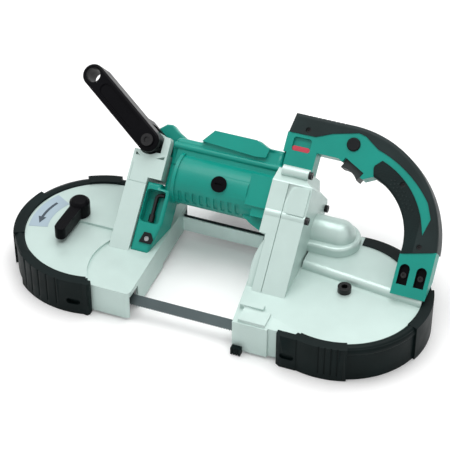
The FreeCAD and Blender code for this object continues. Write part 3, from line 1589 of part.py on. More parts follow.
def bevel_gear():
    """Large bevel gear on the output shaft."""
    teeth = int(d.bevel_gear_teeth.value)
    pitch, mate = bevel_gear_radius.value, bevel_pinion_radius.value
    hub_low = -mate - d.bevel_hub_length.value
    blank = bevel_blank(teeth, pitch, mate, d.gear_bearing_radius.value, hub_low)
    gear = blank.fuse(bevel_teeth(teeth, pitch, mate, math.pi + math.pi / teeth))
    gear.translate(Vector(output_x.value, output_y.value, counter_z.value))
    half = 2 * pitch
    bore = Part.makeCylinder(d.counter_radius.value, 2 * half,
                             Vector(output_x.value, output_y.value, counter_z.value - half))
    solid("bevel_gear", gear.cut(bore))


def counter_shaft():
    """Counter shaft with the small bevel gear cut into its end."""
    teeth = int(d.bevel_pinion_teeth.value)
    pitch, mate = bevel_pinion_radius.value, bevel_gear_radius.value
    hub_low = -mate - d.bevel_hub_length.value
    blank = bevel_blank(teeth, pitch, mate, d.counter_radius.value, hub_low)
    pinion = blank.fuse(bevel_teeth(teeth, pitch, mate, 0))
    shape = along_x(pinion, output_x.value, counter_y.value, counter_z.value)
    shape.rotate(Vector(output_x.value, counter_y.value, counter_z.value), Vector(1, 0, 0), -RIGHT_ANGLE)
    start = d.case_left_x.value + d.running_gap.value + d.shaft_fit.value
    end = output_x.value + hub_low
    bar = Part.makeCylinder(d.counter_radius.value, end - start,
                            Vector(start, counter_y.value, counter_z.value), Vector(1, 0, 0))
    solid("counter_shaft", shape.fuse(bar).removeSplitter())


def output_shaft():
    """Upright shaft with the wheel pinion at its foot."""
    teeth = int(d.wheel_pinion_teeth.value)
    towards = math.atan2(-output_y.value, d.drive_wheel_x.value - output_x.value)
    low = d.wheel_gear_bottom_z.value
    pinion = spur_face(teeth, d.wheel_module.value, towards).extrude(Vector(0, 0, d.wheel_gear_width.value))
    pinion.translate(Vector(output_x.value, output_y.value, low))
    top = counter_z.value - bevel_pinion_radius.value
    bar = Part.makeCylinder(d.counter_radius.value, top - low - d.wheel_gear_width.value,
                            Vector(output_x.value, output_y.value, low + d.wheel_gear_width.value))
    solid("output_shaft", pinion.fuse(bar))


def drive_gear():
    """Ring gear on top of the drive wheel."""
    teeth = int(d.wheel_gear_teeth.value)
    towards = math.atan2(output_y.value, output_x.value - d.drive_wheel_x.value)
    face = spur_face(teeth, d.wheel_module.value, towards + math.pi / teeth)
    hole = Part.Face(Part.Wire(Part.makeCircle(d.wheel_gear_bore.value)))
    gear = face.cut(hole).extrude(Vector(0, 0, d.wheel_gear_width.value))
    gear.translate(Vector(d.drive_wheel_x.value, 0, d.wheel_gear_bottom_z.value))
    solid("drive_gear", gear)


def ball_bearings():
    """Bearings of the motor shaft, the counter shaft and the output shaft."""
    rings = []
    motor = (motor_y, motor_z)
    counter = (counter_y, counter_z)
    seat_left = -d.motor_left_x + d.barrel_flange
    case_left = d.case_left_x
    width = d.gear_bearing_width
    large = d.gear_bearing_radius
    rows = (
        (motor, d.motor_shaft_radius, d.shaft_collar, seat_left, -d.motor_left_x + d.motor_end_wall),
        (motor, d.motor_shaft_radius, large, case_left, case_left + width),
        (counter, d.counter_radius, large, case_left + d.running_gap, case_left + width),
        (counter, d.counter_radius, large, d.case_right_x - width, d.case_right_x),
    )
    for place, inner, outer, left, right in rows:
        ring = loose_body()
        turn(ring, "x", place, sleeve(inner + d.shaft_fit, outer, left, right))
        rings.append(ring)
    ring = loose_body()
    low = drive_underside_z
    turn(ring, "z", (output_x, output_y), tube(d.counter_radius + d.shaft_fit, large, low,
                                               low + d.output_bearing_width))
    rings.append(ring)
    group("ball_bearings", FLAT, rings)


# Gear column


def column_outline(front, level_z):
    """Side outline of the gear column, standing on a flat level."""
    back = -d.case_back
    return [
        Corner(up_on_level(level_z, front), front),
        Corner(d.case_shoulder_up, front, d.case_edge_round),
        Corner(d.case_top_up, d.case_shoulder_front, d.case_edge_round),
        Corner(d.case_top_up, -d.case_crown_back),
        Corner(d.case_rear_up, back),
        Corner(up_on_level(level_z, back), back),
    ]


def column_half(label, left, right):
    """One half of the gear column, before its cavity."""
    body = new_body(label, TILTED)
    pad(body, "x", left, right, column_outline(d.case_front, d.deck_top_z))
    return body


def gear_cavity(body, left, right):
    """Cuts the room for the reduction gear and the motor pinion."""
    gear_room = reduction_radius + d.spur_module + d.casting_wall / 2
    pinion_room = motor_pinion_radius + d.spur_module + d.casting_wall / 2
    pocket(body, "x", left, right, Ring(counter_up, counter_front, gear_room))
    pocket(body, "x", left, right, Ring(d.motor_up, d.motor_front, pinion_room))


def gear_case():
    """Both halves of the gear column, split along its seam."""
    seam = d.case_seam_x
    inner_left = d.case_left_x + d.case_wall
    plate = column_half("gear_plate", d.case_left_x, seam)
    far = d.case_front + d.overrun
    pocket(plate, "z", -far, far, block(d.case_left_x - d.overrun, -d.overrun, d.case_leg_x, d.case_leg_up))
    pad(plate, "x", d.upper_boss_left, seam, Ring(d.upper_boss_up, d.upper_boss_front, d.case_boss_radius))
    pad(plate, "x", d.lower_boss_left, seam, Ring(d.lower_boss_up, d.case_boss_front, d.case_boss_radius))
    gear_cavity(plate, inner_left, seam + d.overrun)
    large = d.gear_bearing_radius
    pocket(plate, "x", d.case_left_x - d.overrun, inner_left + d.overrun,
           Ring(d.motor_up, d.motor_front, large))
    pocket(plate, "x", d.case_left_x + d.running_gap, inner_left + d.overrun,
           Ring(counter_up, counter_front, large))
    case = column_half("gear_case", seam, d.case_right_x)
    pocket(case, "z", -far, far, [
        Corner(d.case_cut_x, d.case_top_up + d.overrun), Corner(d.case_cut_x, d.case_cut_step_up),
        Corner(d.case_right_x + d.overrun, d.case_cut_up),
        Corner(d.case_right_x + d.overrun, d.case_top_up + d.overrun),
    ])
    pad(case, "x", seam, d.upper_boss_right, Ring(d.upper_boss_up, d.upper_boss_front, d.case_boss_radius))
    pad(case, "x", seam, d.case_right_x, Ring(d.lower_boss_up, d.case_boss_front, d.case_boss_radius))
    gear_cavity(case, seam - d.overrun, d.case_right_x - d.case_wall)
    pocket(case, "x", d.case_right_x - d.case_wall - d.overrun, d.case_right_x + d.overrun,
           Ring(counter_up, counter_front, large))
    hole = d.case_screw_radius + d.screw_fit
    for up, front, right in case_screw_places():
        pocket(case, "x", seam - d.overrun, right + d.overrun, Ring(up, front, hole))
        pocket(plate, "x", right - d.case_screw_length, seam + d.overrun, Ring(up, front, hole))


def case_screw_places():
    """Up, front and right end of each gear column screw."""
    return (
        (d.upper_boss_up, d.upper_boss_front, d.upper_boss_right),
        (d.lower_boss_up, d.case_boss_front, d.case_right_x),
        (d.rear_boss_up, -d.rear_boss_back - d.case_boss_radius, d.case_right_x),
    )


def case_screws():
    """Socket screws that clamp the gear column together."""
    screws = []
    for up, front, right in case_screw_places():
        screw = loose_body()
        head = right + d.case_screw_head_length
        end = right - d.case_screw_length + d.overrun
        turn(screw, "x", (up, front), [
            Corner(end, 0), Corner(head, 0), Corner(head, d.case_screw_head),
            Corner(right, d.case_screw_head), Corner(right, d.case_screw_radius),
            Corner(end, d.case_screw_radius),
        ])
        pocket(screw, "x", right + d.case_screw_head_length / 2, head + d.overrun,
               hexagon(up, front, d.case_screw_radius))
        screws.append(screw)
    group("case_screws", TILTED, screws)


def gear_dome():
    """Stepped cover over the bevel gears."""
    body = new_body("gear_dome")
    low = d.plateau_top_z
    high = low + d.dome_step_height
    left = d.case_right_x
    radius = d.dome_radius

    def stadium(inset):
        reach = radius - inset
        return [
            Corner(left, output_y - reach), Corner(output_x, output_y - reach, arc=HALF_TURN),
            Corner(output_x, output_y + reach), Corner(left, output_y + reach),
        ]

    pad(body, "z", low, high, stadium(as_size(0)))
    soften(body, d.dome_step_round, lambda edge: level(edge, "Z", high) and edge.BoundBox.XMax
           > left.value + EDGE_TOLERANCE)
    place = (output_y, high)
    end = output_x + d.dome_capsule_end
    round_radius = d.dome_capsule_radius

    def capsule(inset):
        reach = round_radius - inset
        return [Corner(left - inset, 0), Corner(end + reach, 0, arc=reach, side=1), Corner(end, reach),
                Corner(left - inset, reach)]

    turn(body, "x", place, capsule(as_size(0)))
    pocket(body, "z", low - round_radius, low, block(left - d.overrun, output_y - radius, output_x + radius,
                                                     output_y + radius))
    turn(body, "x", place, capsule(d.dome_wall), "Groove")
    pocket(body, "z", low - d.overrun, high - d.dome_roof, stadium(d.dome_wall))


# Nose cover, lamp and hex key


def below_level(level_z, front, back, far):
    """Side outline of everything below a flat level."""
    return [
        Corner(up_on_level(level_z, front), front), Corner(up_on_level(level_z, back), back),
        Corner(up_on_level(level_z, back) - far, back), Corner(up_on_level(level_z, front) - far, front),
    ]


def nose_cover():
    """Foot of the motor housing with the key recess and the lamp seat."""
    body = new_body("nose_cover", TILTED)
    left = -d.nose_left_x
    foot = up_on_level(low_deck_z, d.nose_front)
    pad(body, "z", d.nose_back, d.nose_front, [
        Corner(left, foot), Corner(-d.nose_foot_x, foot), Corner(-d.nose_right_x, d.nose_knee_up),
        Corner(-d.nose_right_x, d.body_bottom_up), Corner(-d.body_left_x, d.body_bottom_up),
        Corner(-d.body_left_x, d.nose_top_up), Corner(left, d.nose_top_up),
    ])
    soften(body, d.nose_corner, lambda edge: level(edge, "Z", d.nose_front))
    far = d.nose_left_x
    pocket(body, "x", left - d.overrun, -d.nose_right_x + d.overrun,
           below_level(low_deck_z, d.nose_front + d.overrun, d.nose_back - d.overrun, far))
    pocket(body, "z", d.nose_front - d.nose_recess_depth, d.nose_front + d.overrun,
           block(-d.nose_recess_left, d.nose_recess_low, -d.nose_recess_right, d.nose_recess_high,
                 d.nose_corner))
    pocket(body, "z", d.nose_front - d.lamp_depth, d.nose_front + d.overrun,
           Ring(-d.lamp_x, d.lamp_up, d.lamp_radius))


def led_lens():
    """Clear lens of the work lamp."""
    body = new_body("led_lens", TILTED)
    low = d.nose_front - d.lamp_depth
    high = d.nose_front + d.lamp_proud
    turn(body, "z", (-d.lamp_x, d.lamp_up), [
        Corner(0, low), Corner(d.lamp_radius, low), Corner(d.lamp_radius, d.nose_front),
        Corner(d.lamp_radius - d.lamp_proud, high), Corner(0, high),
    ])


def hex_key():
    """L-shaped hex key with a moulded sleeve, clipped in the nose recess."""
    radius, bend = d.key_radius.value, d.key_bend.value
    grip = d.key_grip_radius.value
    x, low = -d.key_x.value, d.key_low_up.value
    front = d.nose_front.value - d.nose_recess_depth.value + grip + d.running_gap.value
    high = low + d.key_long.value - radius
    tip_x = x + d.key_short.value
    slack = bend * (1 - math.cos(math.pi / 4))
    foot, turn_in = Vector(x, low + radius, front), Vector(x, high - bend, front)
    turn_middle = Vector(x + slack, high - slack, front)
    turn_out, tip = Vector(x + bend, high, front), Vector(tip_x, high, front)
    path = Part.Wire([Part.LineSegment(foot, turn_in).toShape(),
                      Part.Arc(turn_in, turn_middle, turn_out).toShape(),
                      Part.LineSegment(turn_out, tip).toShape()])
    corners = [foot + Vector(math.cos(angle), 0, math.sin(angle)) * radius
               for angle in (2 * math.pi * i / HEX_SIDES for i in range(HEX_SIDES))]
    key = path.makePipeShell([Part.makePolygon(corners + corners[:1])], True, False)
    grip_sleeve = Part.makeCylinder(grip, d.key_grip_length.value, Vector(x, low, front), Vector(0, 1, 0))
    solid("hex_key", key.fuse(grip_sleeve).Solids[0], TILTED)


# Idler arm and front handle


def idler_arm():
    """Silver column from the idler deck up to the front handle's cradle."""
    body = new_body("idler_arm", TILTED)
    front, back = d.arm_front, -d.arm_back
    pad(body, "x", -d.arm_left_x, -d.arm_right_x, [
        Corner(up_on_level(low_deck_z, front), front), Corner(d.arm_top_up, front),
        Corner(d.arm_top_up, back), Corner(up_on_level(low_deck_z, back), back),
    ])
    pad(body, "z", back, front, block(-d.arm_right_x - d.overrun, d.cradle_low_up, -d.cradle_right_x,
                                      d.arm_top_up))
    lug_back, lug_front = d.pivot_lug_back, d.pivot_lug_front
    boss = d.pivot_boss_radius
    room = d.front_handle_radius + d.cradle_gap
    for low, high in ((lug_front, front + d.overrun), (back - d.overrun, lug_back)):
        pocket(body, "z", low, high, Ring(-d.pivot_x, pivot_up, room))
    pad(body, "z", lug_back, lug_front, [
        Corner(-d.pivot_x - boss, d.arm_top_up - d.overrun),
        Corner(-d.pivot_x + boss, d.arm_top_up - d.overrun),
        Corner(-d.pivot_x + boss, pivot_up, arc=HALF_TURN), Corner(-d.pivot_x - boss, pivot_up),
    ])
    pocket(body, "z", lug_back - d.overrun, lug_front + d.overrun,
           Ring(-d.pivot_x, pivot_up, d.pivot_bolt_radius))
    rim = d.casting_wall
    web_low = pivot_up - room - rim
    web_high = d.arm_top_up - rim
    for edge, inner in ((-d.arm_left_x + rim, -d.pivot_x - room + 2 * rim),
                        (-d.cradle_right_x - rim, -d.pivot_x + room - rim)):
        pocket(body, "z", front - d.cradle_web_depth, front + d.overrun,
               [Corner(edge, web_low), Corner(inner, web_low), Corner(edge, web_high)])


def handle_spot(along, across):
    """Place on the front handle: along it from the pivot, and across it."""
    run_x, run_up = cosine(d.front_handle_angle), sine(d.front_handle_angle)
    return -d.pivot_x + run_x * along - run_up * across, pivot_up + run_up * along + run_x * across


def handle_slot(start, end, radius):
    """Round-ended outline along the front handle."""
    return [
        Corner(*handle_spot(start, radius), arc=HALF_TURN), Corner(*handle_spot(start, -radius)),
        Corner(*handle_spot(end, -radius), arc=HALF_TURN), Corner(*handle_spot(end, radius)),
    ]


def front_handle():
    """Black front handle with its clevis round the arm's lug and a hollow round end."""
    body = new_body("front_handle", TILTED)
    low, high = -d.front_handle_back, d.front_handle_front
    length, radius = d.front_handle_length, d.front_handle_radius
    pad(body, "z", low, high, handle_slot(as_size(0), length, radius))
    wide = radius + d.overrun
    grip_start, grip_end = d.clevis_reach + d.clevis_web, length + wide
    pocket(body, "z", low - d.overrun, d.front_handle_grip_back, [
        Corner(*handle_spot(grip_start, wide)), Corner(*handle_spot(grip_start, -wide)),
        Corner(*handle_spot(grip_end, -wide)), Corner(*handle_spot(grip_end, wide)),
    ])
    soften(body, d.front_handle_edge, lambda edge: level(edge, "Z", high) or level(edge, "Z", low))
    hole_x, hole_up = handle_spot(length, as_size(0))
    pocket(body, "z", low - d.overrun, high + d.overrun, Ring(hole_x, hole_up, d.front_handle_hole))
    pocket(body, "z", high - d.front_handle_panel_depth, high + d.overrun,
           handle_slot(d.front_handle_panel_start, d.front_handle_panel_end, d.front_handle_panel_radius))
    pocket(body, "z", d.pivot_lug_back - d.running_gap, d.pivot_lug_front + d.running_gap,
           Ring(-d.pivot_x, pivot_up, d.clevis_reach))
    pocket(body, "z", low - d.overrun, high + d.overrun,
           Ring(-d.pivot_x, pivot_up, d.pivot_bolt_radius + d.screw_fit))


def pivot_bolt():
    """Bolt and nut through the front handle's clevis."""
    body = new_body("pivot_bolt", TILTED)
    low, high = -d.front_handle_back, d.front_handle_front
    head_low = high + d.running_gap
    head_high = head_low + d.pivot_head_height
    nut_high = low - d.running_gap
    nut_low = nut_high - d.pivot_nut_height
    shank, head = d.pivot_bolt_radius, d.pivot_head_radius
    turn(body, "z", (-d.pivot_x, pivot_up), [
        Corner(0, nut_low), Corner(head, nut_low), Corner(head, nut_high), Corner(shank, nut_high),
        Corner(shank, head_low), Corner(head, head_low), Corner(head, head_high), Corner(0, head_high),
    ])
    pocket(body, "z", head_high - d.pivot_head_height / 2, head_high + d.overrun,
           hexagon(-d.pivot_x, pivot_up, shank))


# Main handle


def foot_line(x):
    """Up of the foot's sloping top at an X."""
    slope = (d.handle_heel_up - d.handle_foot_up) / (d.handle_heel_x - d.handle_foot_left)
    return d.handle_foot_up + slope * (x - d.handle_foot_left)


def core_outline():
    """Outline of the teal handle core, between the back grip and the inner grip."""
    left, right = d.spine_left, d.spine_right
    shoulder = d.body_right_up + d.running_gap
    return [
        Corner(d.handle_block_left, d.case_top_up), Corner(d.handle_block_right, d.case_top_up),
        Corner(d.handle_block_right, d.handle_neck_up), Corner(d.handle_neck_x, d.handle_neck_up),
        Corner(d.handle_guard_x, d.handle_guard_up), Corner(d.handle_inner_top_x, d.handle_inner_top_up),
        Corner(d.handle_patch_end_x, d.handle_patch_end_up, d.handle_patch_end_round),
        Corner(d.handle_patch_top_x, d.handle_patch_top_up, arc=d.handle_patch_arc, side=-1),
        Corner(left, d.spine_left_up), Corner(left, foot_line(left)),
        Corner(d.handle_foot_left, d.handle_foot_up), Corner(d.handle_foot_left, d.handle_base_up),
        Corner(d.handle_heel_x, d.handle_base_up), Corner(d.handle_heel_x, d.handle_heel_up),
        Corner(right, foot_line(right)), Corner(right, d.spine_right_up),
        Corner(d.handle_core_heel_x, d.handle_core_heel_up, arc=d.handle_core_arc, side=1),
        Corner(d.handle_core_arc_x, d.handle_core_arc_up),
        Corner(d.handle_core_brow_x, d.handle_core_brow_up),
        Corner(d.handle_core_crown_x, d.handle_core_crown_up),
        Corner(d.handle_grip_dip_x, d.handle_grip_dip_up),
        Corner(d.handle_grip_step_x, d.handle_grip_step_up),
        Corner(d.handle_grip_left, d.handle_grip_low_up), Corner(d.handle_grip_left, shoulder),
        Corner(d.handle_block_left, shoulder),
    ]


def spine_cover():
    """Outline of the rubber over the core between the loop's tip and the foot."""
    left, right = d.spine_left, d.spine_right
    return [
        Corner(left, foot_line(left)), Corner(right, foot_line(right)), Corner(right, d.spine_right_up),
        Corner(d.loop_tip_x, d.loop_tip_up), Corner(left, d.spine_left_up),
    ]


def trigger_spot(along, inward):
    """Place by the trigger: along the handle's guard line from the neck, and into the handle."""
    run_x = d.handle_guard_x - d.handle_neck_x
    run_up = d.handle_guard_up - d.handle_neck_up
    length = root(run_x * run_x + run_up * run_up)
    run_x, run_up = run_x / length, run_up / length
    x = d.handle_neck_x + run_x * along - run_up * inward
    return x, d.handle_neck_up + run_up * along + run_x * inward


def trigger_block(half_width, low, high):
    """Rectangle about the trigger's middle line."""
    left, right = d.trigger_inset - half_width, d.trigger_inset + half_width
    return [Corner(*trigger_spot(left, low)), Corner(*trigger_spot(right, low)),
            Corner(*trigger_spot(right, high)), Corner(*trigger_spot(left, high))]


def handle_shell(label, low, high, outer):
    """One half of the handle: block, loop and foot, with room for the switch and the trigger."""
    body = new_body(label, TILTED)
    pad(body, "z", low, high, core_outline())
    middle = d.handle_middle
    pocket(body, "x", d.handle_foot_left - d.overrun, d.handle_heel_x + d.overrun,
           below_level(d.plateau_top_z, high + d.overrun, low - d.overrun,
                       d.handle_base_up + d.handle_heel_up))
    pocket(body, "z", low - d.overrun, high + d.overrun,
           trigger_block(d.trigger_notch_half, -d.overrun, d.trigger_notch_depth))
    slot = d.trigger_half_thickness + d.running_gap
    room = d.switch_half_thickness + d.screw_fit
    spans = {1: (middle - d.overrun, middle + slot, middle + room),
             -1: (middle + d.overrun, middle - slot, middle - room)}
    start, slot_end, room_end = spans[outer]
    deep = d.trigger_tail + d.trigger_travel + d.running_gap
    slot_outline = trigger_block(d.trigger_half_width + d.running_gap, -d.overrun, deep)
    room_outline = block(d.switch_left, d.switch_low, d.switch_right, d.switch_high)
    for end, outline in ((slot_end, slot_outline), (room_end, room_outline)):
        if outer > 0:
            pocket(body, "z", start, end, outline)
        else:
            pocket(body, "z", end, start, outline)
    skin = d.handle_grip_skin
    if outer > 0:
        pocket(body, "z", high - skin, high + d.overrun, spine_cover())
    else:
        pocket(body, "z", low - d.overrun, low + skin, spine_cover())
    return body


def main_handle():
    """Both handle shells, with the front one's recess, lock button hole and screw seats."""
    middle, half = d.handle_middle, d.handle_half
    front = middle + half
    shell = handle_shell("handle_shell_front", middle, front, 1)
    pocket(shell, "z", front - d.recess_depth, front + d.overrun,
           block(d.recess_left, d.recess_low, d.recess_right, d.recess_high, d.recess_corner))
    pocket(shell, "z", middle + d.switch_half_thickness - d.overrun, front + d.overrun,
           Ring(d.lock_x, d.lock_up, d.lock_radius + d.screw_fit))
    for x, up in handle_screw_places()[:2]:
        pad(shell, "z", middle, front - d.handle_grip_skin, Ring(x, up, d.handle_post_radius))
    for x, up in handle_screw_places():
        pocket(shell, "z", front - d.handle_screw_depth, front + d.overrun,
               Ring(x, up, d.handle_screw_radius))
    half = d.foot_arch_width / 2
    for x in (d.foot_arch_left, d.foot_arch_right):
        pocket(shell, "z", front - d.foot_arch_depth, front + d.overrun, [
            Corner(x - half, d.foot_arch_low), Corner(x + half, d.foot_arch_low),
            Corner(x + half, d.foot_arch_high, arc=HALF_TURN), Corner(x - half, d.foot_arch_high),
        ])
    handle_shell("handle_shell_rear", middle - half, middle, -1)


def handle_screw_places():
    """X and up of each handle screw."""
    return ((d.screw_one_x, d.screw_one_up), (d.screw_two_x, d.screw_two_up),
            (d.screw_three_x, d.screw_three_up))


def handle_screws():
    """Screws that close the handle shells."""
    screws = []
    front = d.handle_middle + d.handle_half
    for x, up in handle_screw_places():
        screw = loose_body()
        head = front - d.handle_screw_sink
        pad(screw, "z", front - d.handle_screw_depth, head, Ring(x, up, d.handle_screw_radius))
        pocket(screw, "z", head - d.handle_screw_sink, head + d.overrun,
               hexagon(x, up, d.handle_screw_radius / 2))
        screws.append(screw)
    group("handle_screws", TILTED, screws)


def screw_holes(grip, places, posts):
    """Opens a grip for the screws and for the core's posts under them."""
    front = d.handle_middle + d.handle_half
    for x, up in posts:
        pocket(grip, "z", d.handle_middle, front - d.handle_grip_skin, Ring(x, up, d.handle_post_radius))
    for x, up in places:
        pocket(grip, "z", front - d.handle_grip_skin, front + d.handle_grip_proud + d.overrun,
               Ring(x, up, d.handle_screw_radius + d.screw_fit))


def handle_grips():
    """Rubber back grip along the top and heel, and the inner grip along the finger side."""
    rear, front = d.handle_middle - d.handle_half, d.handle_middle + d.handle_half
    low, high = rear - d.handle_grip_proud, front + d.handle_grip_proud
    left, right = d.spine_left, d.spine_right
    first, second, third = handle_screw_places()
    back = new_body("handle_back_grip", TILTED)
    pad(back, "z", low, high, [
        Corner(d.handle_grip_left, d.handle_grip_low_up), Corner(d.handle_grip_step_x, d.handle_grip_step_up),
        Corner(d.handle_grip_dip_x, d.handle_grip_dip_up),
        Corner(d.handle_core_crown_x, d.handle_core_crown_up),
        Corner(d.handle_core_brow_x, d.handle_core_brow_up),
        Corner(d.handle_core_arc_x, d.handle_core_arc_up, arc=d.handle_core_arc, side=-1),
        Corner(d.handle_core_heel_x, d.handle_core_heel_up), Corner(right, d.spine_right_up),
        Corner(right, foot_line(right)),
        Corner(d.handle_heel_x, d.handle_heel_up, arc=d.handle_outer_arc, side=1),
        Corner(d.handle_crown_x, d.handle_crown_up), Corner(d.handle_block_left, d.handle_top_up),
    ])
    soften(back, d.handle_edge_round, lambda edge: (level(edge, "Z", low) or level(edge, "Z", high))
           and edge.BoundBox.YMax > d.handle_crown_up.value - EDGE_TOLERANCE)
    skin = d.handle_grip_skin
    pad(back, "z", front - skin, high, spine_cover())
    pad(back, "z", low, rear + skin, spine_cover())
    screw_holes(back, (first, third), (first,))
    inner = new_body("handle_inner_grip", TILTED)
    pad(inner, "z", low, high, [
        Corner(d.handle_foot_left, d.handle_foot_up), Corner(left, foot_line(left)),
        Corner(left, d.spine_left_up, arc=d.handle_patch_arc, side=1),
        Corner(d.handle_patch_top_x, d.handle_patch_top_up),
        Corner(d.handle_patch_end_x, d.handle_patch_end_up, d.handle_patch_end_round),
        Corner(d.handle_inner_top_x, d.handle_inner_top_up, arc=d.handle_inner_arc, side=-1),
    ])
    soften(inner, d.handle_patch_round, lambda edge: edge.Curve.TypeId == "Part::GeomCircle"
           and abs(edge.Curve.Radius - d.handle_inner_arc.value) < EDGE_TOLERANCE)
    screw_holes(inner, (second,), (second,))


def trigger_and_switch():
    """Trigger, lock button, switch and release slide."""
    middle = d.handle_middle
    trigger = new_body("trigger", TILTED)
    left, right = d.trigger_inset - d.trigger_half_width, d.trigger_inset + d.trigger_half_width
    pad(trigger, "z", middle - d.trigger_half_thickness, middle + d.trigger_half_thickness, [
        Corner(*trigger_spot(left, -d.trigger_proud), arc=d.trigger_scoop, side=-1),
        Corner(*trigger_spot(right, -d.trigger_proud)), Corner(*trigger_spot(right, d.trigger_tail)),
        Corner(*trigger_spot(left, d.trigger_tail)),
    ])
    front = middle + d.handle_half
    button = new_body("lock_button", TILTED)
    turn(button, "z", (d.lock_x, d.lock_up), [
        Corner(0, d.lock_inner_front), Corner(d.lock_radius, d.lock_inner_front),
        Corner(d.lock_radius, front + d.lock_proud / 2), Corner(d.lock_radius - d.lock_proud / 2,
                                                                front + d.lock_proud),
        Corner(0, front + d.lock_proud),
    ])
    switch = new_body("switch_unit", TILTED)
    pad(switch, "z", middle - d.switch_half_thickness, middle + d.switch_half_thickness,
        block(d.switch_left, d.switch_low, d.switch_right, d.switch_high))
    slide = new_body("release_slide", TILTED)
    floor = front - d.recess_depth + d.running_gap
    gap = d.running_gap
    pad(slide, "z", floor, floor + d.slide_thickness,
        block(d.recess_left + gap, d.recess_low + gap, d.recess_right - gap, d.recess_low + d.slide_height,
              d.recess_corner - gap))


# Battery pack


def pack_rail_places():
    """X of both rails of the battery pack."""
    return -d.pack_left_x + d.pack_rail_inset, d.pack_right_x - d.pack_rail_inset


def battery_pack():
    """Battery pack behind the motor, with two slots for the housing's rails."""
    body = new_body("battery_pack", TILTED)
    top = -d.body_back - d.running_gap
    low = top - d.pack_depth
    left, right = -d.pack_left_x, d.pack_right_x
    bottom = d.pack_low_up
    upper = bottom + d.pack_width
    pad(body, "x", left, right, [
        Corner(bottom, low, d.pack_corner), Corner(upper, low, d.pack_corner), Corner(upper, top),
        Corner(bottom, top),
    ])
    soften(body, d.pack_edge_round, lambda edge: level(edge, "X", left) or level(edge, "X", right))
    gap = d.running_gap
    neck = -d.body_back - d.pack_rail_depth
    deep = neck - d.pack_rail_depth
    rail_top = d.pack_rail_top_up + gap
    for x in pack_rail_places():
        for half, start, end in ((d.pack_rail_half, neck - gap, top + d.overrun),
                                 (d.pack_rail_flange, deep - gap, neck + gap)):
            pocket(body, "z", start, end, block(x - half - gap, bottom - d.overrun, x + half + gap, rail_top))


def finish():
    """Rebuilds, checks every object, sets the row origin under the middle and writes the pieces."""
    doc.recompute()
    for item in doc.Objects:
        if "Invalid" in item.State or "Error" in item.State:
            raise RuntimeError(f"{item.Name} failed: {item.State}")
        if item.TypeId in ("PartDesign::Pocket", "PartDesign::Groove"):
            if item.Shape.Volume >= item.BaseFeature.Shape.Volume:
                raise RuntimeError(f"{item.Name} of {item.getParentGeoFeatureGroup().Label} cuts nothing")
    turned = Rotation(Vector(1, 0, 0), d.head_tilt.value)
    for label, (piece, frame) in pieces.items():
        if piece.Shape.isNull() or not piece.Shape.isValid():
            raise RuntimeError(f"{label} has no valid shape")
        stand = Placement(Vector(0, 0, 0), turned if frame == TILTED else Rotation())
        piece.Placement = stand * piece.Placement
    boxes = [piece.Shape.optimalBoundingBox() for piece, frame in pieces.values()]
    middle_x = (min(box.XMin for box in boxes) + max(box.XMax for box in boxes)) / 2
    middle_y = (min(box.YMin for box in boxes) + max(box.YMax for box in boxes)) / 2
    floor = min(box.ZMin for box in boxes)
    row_origin = Placement(Vector(-middle_x, -middle_y, -floor), Rotation())
    os.makedirs("parts", exist_ok=True)
    for label, (piece, frame) in pieces.items():
        piece.Placement = row_origin * piece.Placement
        piece.Shape.exportStep(f"parts/{label}.step")
    print(f"{len(pieces)} pieces, row origin at x {middle_x:.4f} y {middle_y:.4f} z {floor:.4f}")


idler_housing()
drive_housing()
bumpers()
wheels()
drive_axle()
saw_blade()
rear_guard()
stop_shoe()
guides()
idler_carriage()
tension_spring()
tension_lever()
motor_housing()
brush_caps()
motor_inside()
motor_shaft()
reduction_gear()
bevel_gear()
counter_shaft()
output_shaft()
drive_gear()
ball_bearings()
gear_case()
case_screws()
gear_dome()
nose_cover()
led_lens()
hex_key()
idler_arm()
front_handle()
pivot_bolt()
main_handle()
handle_screws()
handle_grips()
trigger_and_switch()
battery_pack()
finish()
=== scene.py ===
"""Looks of a portable band saw that lies on its rubber bumpers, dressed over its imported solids.

Lengths are in millimetres and angles in degrees unless a docstring says otherwise. A size whose name ends
in _x, _up or _front and holds two values gives a form's two ends along the saw, upwards in use or towards
the front.
"""
import json
import logging
import math
from dataclasses import dataclass
from enum import Enum
from typing import Sequence

import bmesh
import bpy
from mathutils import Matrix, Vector

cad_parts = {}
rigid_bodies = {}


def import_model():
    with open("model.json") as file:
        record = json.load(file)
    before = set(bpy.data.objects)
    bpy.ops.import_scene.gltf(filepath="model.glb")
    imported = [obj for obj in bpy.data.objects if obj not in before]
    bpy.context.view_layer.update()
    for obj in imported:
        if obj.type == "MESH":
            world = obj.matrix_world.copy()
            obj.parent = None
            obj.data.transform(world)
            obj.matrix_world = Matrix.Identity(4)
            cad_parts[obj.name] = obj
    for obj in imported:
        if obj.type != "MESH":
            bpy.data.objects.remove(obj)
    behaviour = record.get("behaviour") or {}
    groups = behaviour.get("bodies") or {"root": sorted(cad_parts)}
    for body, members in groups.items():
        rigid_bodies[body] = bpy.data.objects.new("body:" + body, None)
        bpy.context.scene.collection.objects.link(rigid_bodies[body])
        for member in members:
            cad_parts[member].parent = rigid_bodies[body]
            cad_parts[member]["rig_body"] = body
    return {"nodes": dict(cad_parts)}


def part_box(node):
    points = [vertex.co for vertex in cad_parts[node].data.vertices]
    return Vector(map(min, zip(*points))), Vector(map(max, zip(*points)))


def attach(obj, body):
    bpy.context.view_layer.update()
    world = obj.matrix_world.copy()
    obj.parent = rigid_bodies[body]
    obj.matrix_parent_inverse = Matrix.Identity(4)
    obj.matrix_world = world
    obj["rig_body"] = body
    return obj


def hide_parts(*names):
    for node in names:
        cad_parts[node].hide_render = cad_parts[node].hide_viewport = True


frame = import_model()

log = logging.getLogger("band_saw")

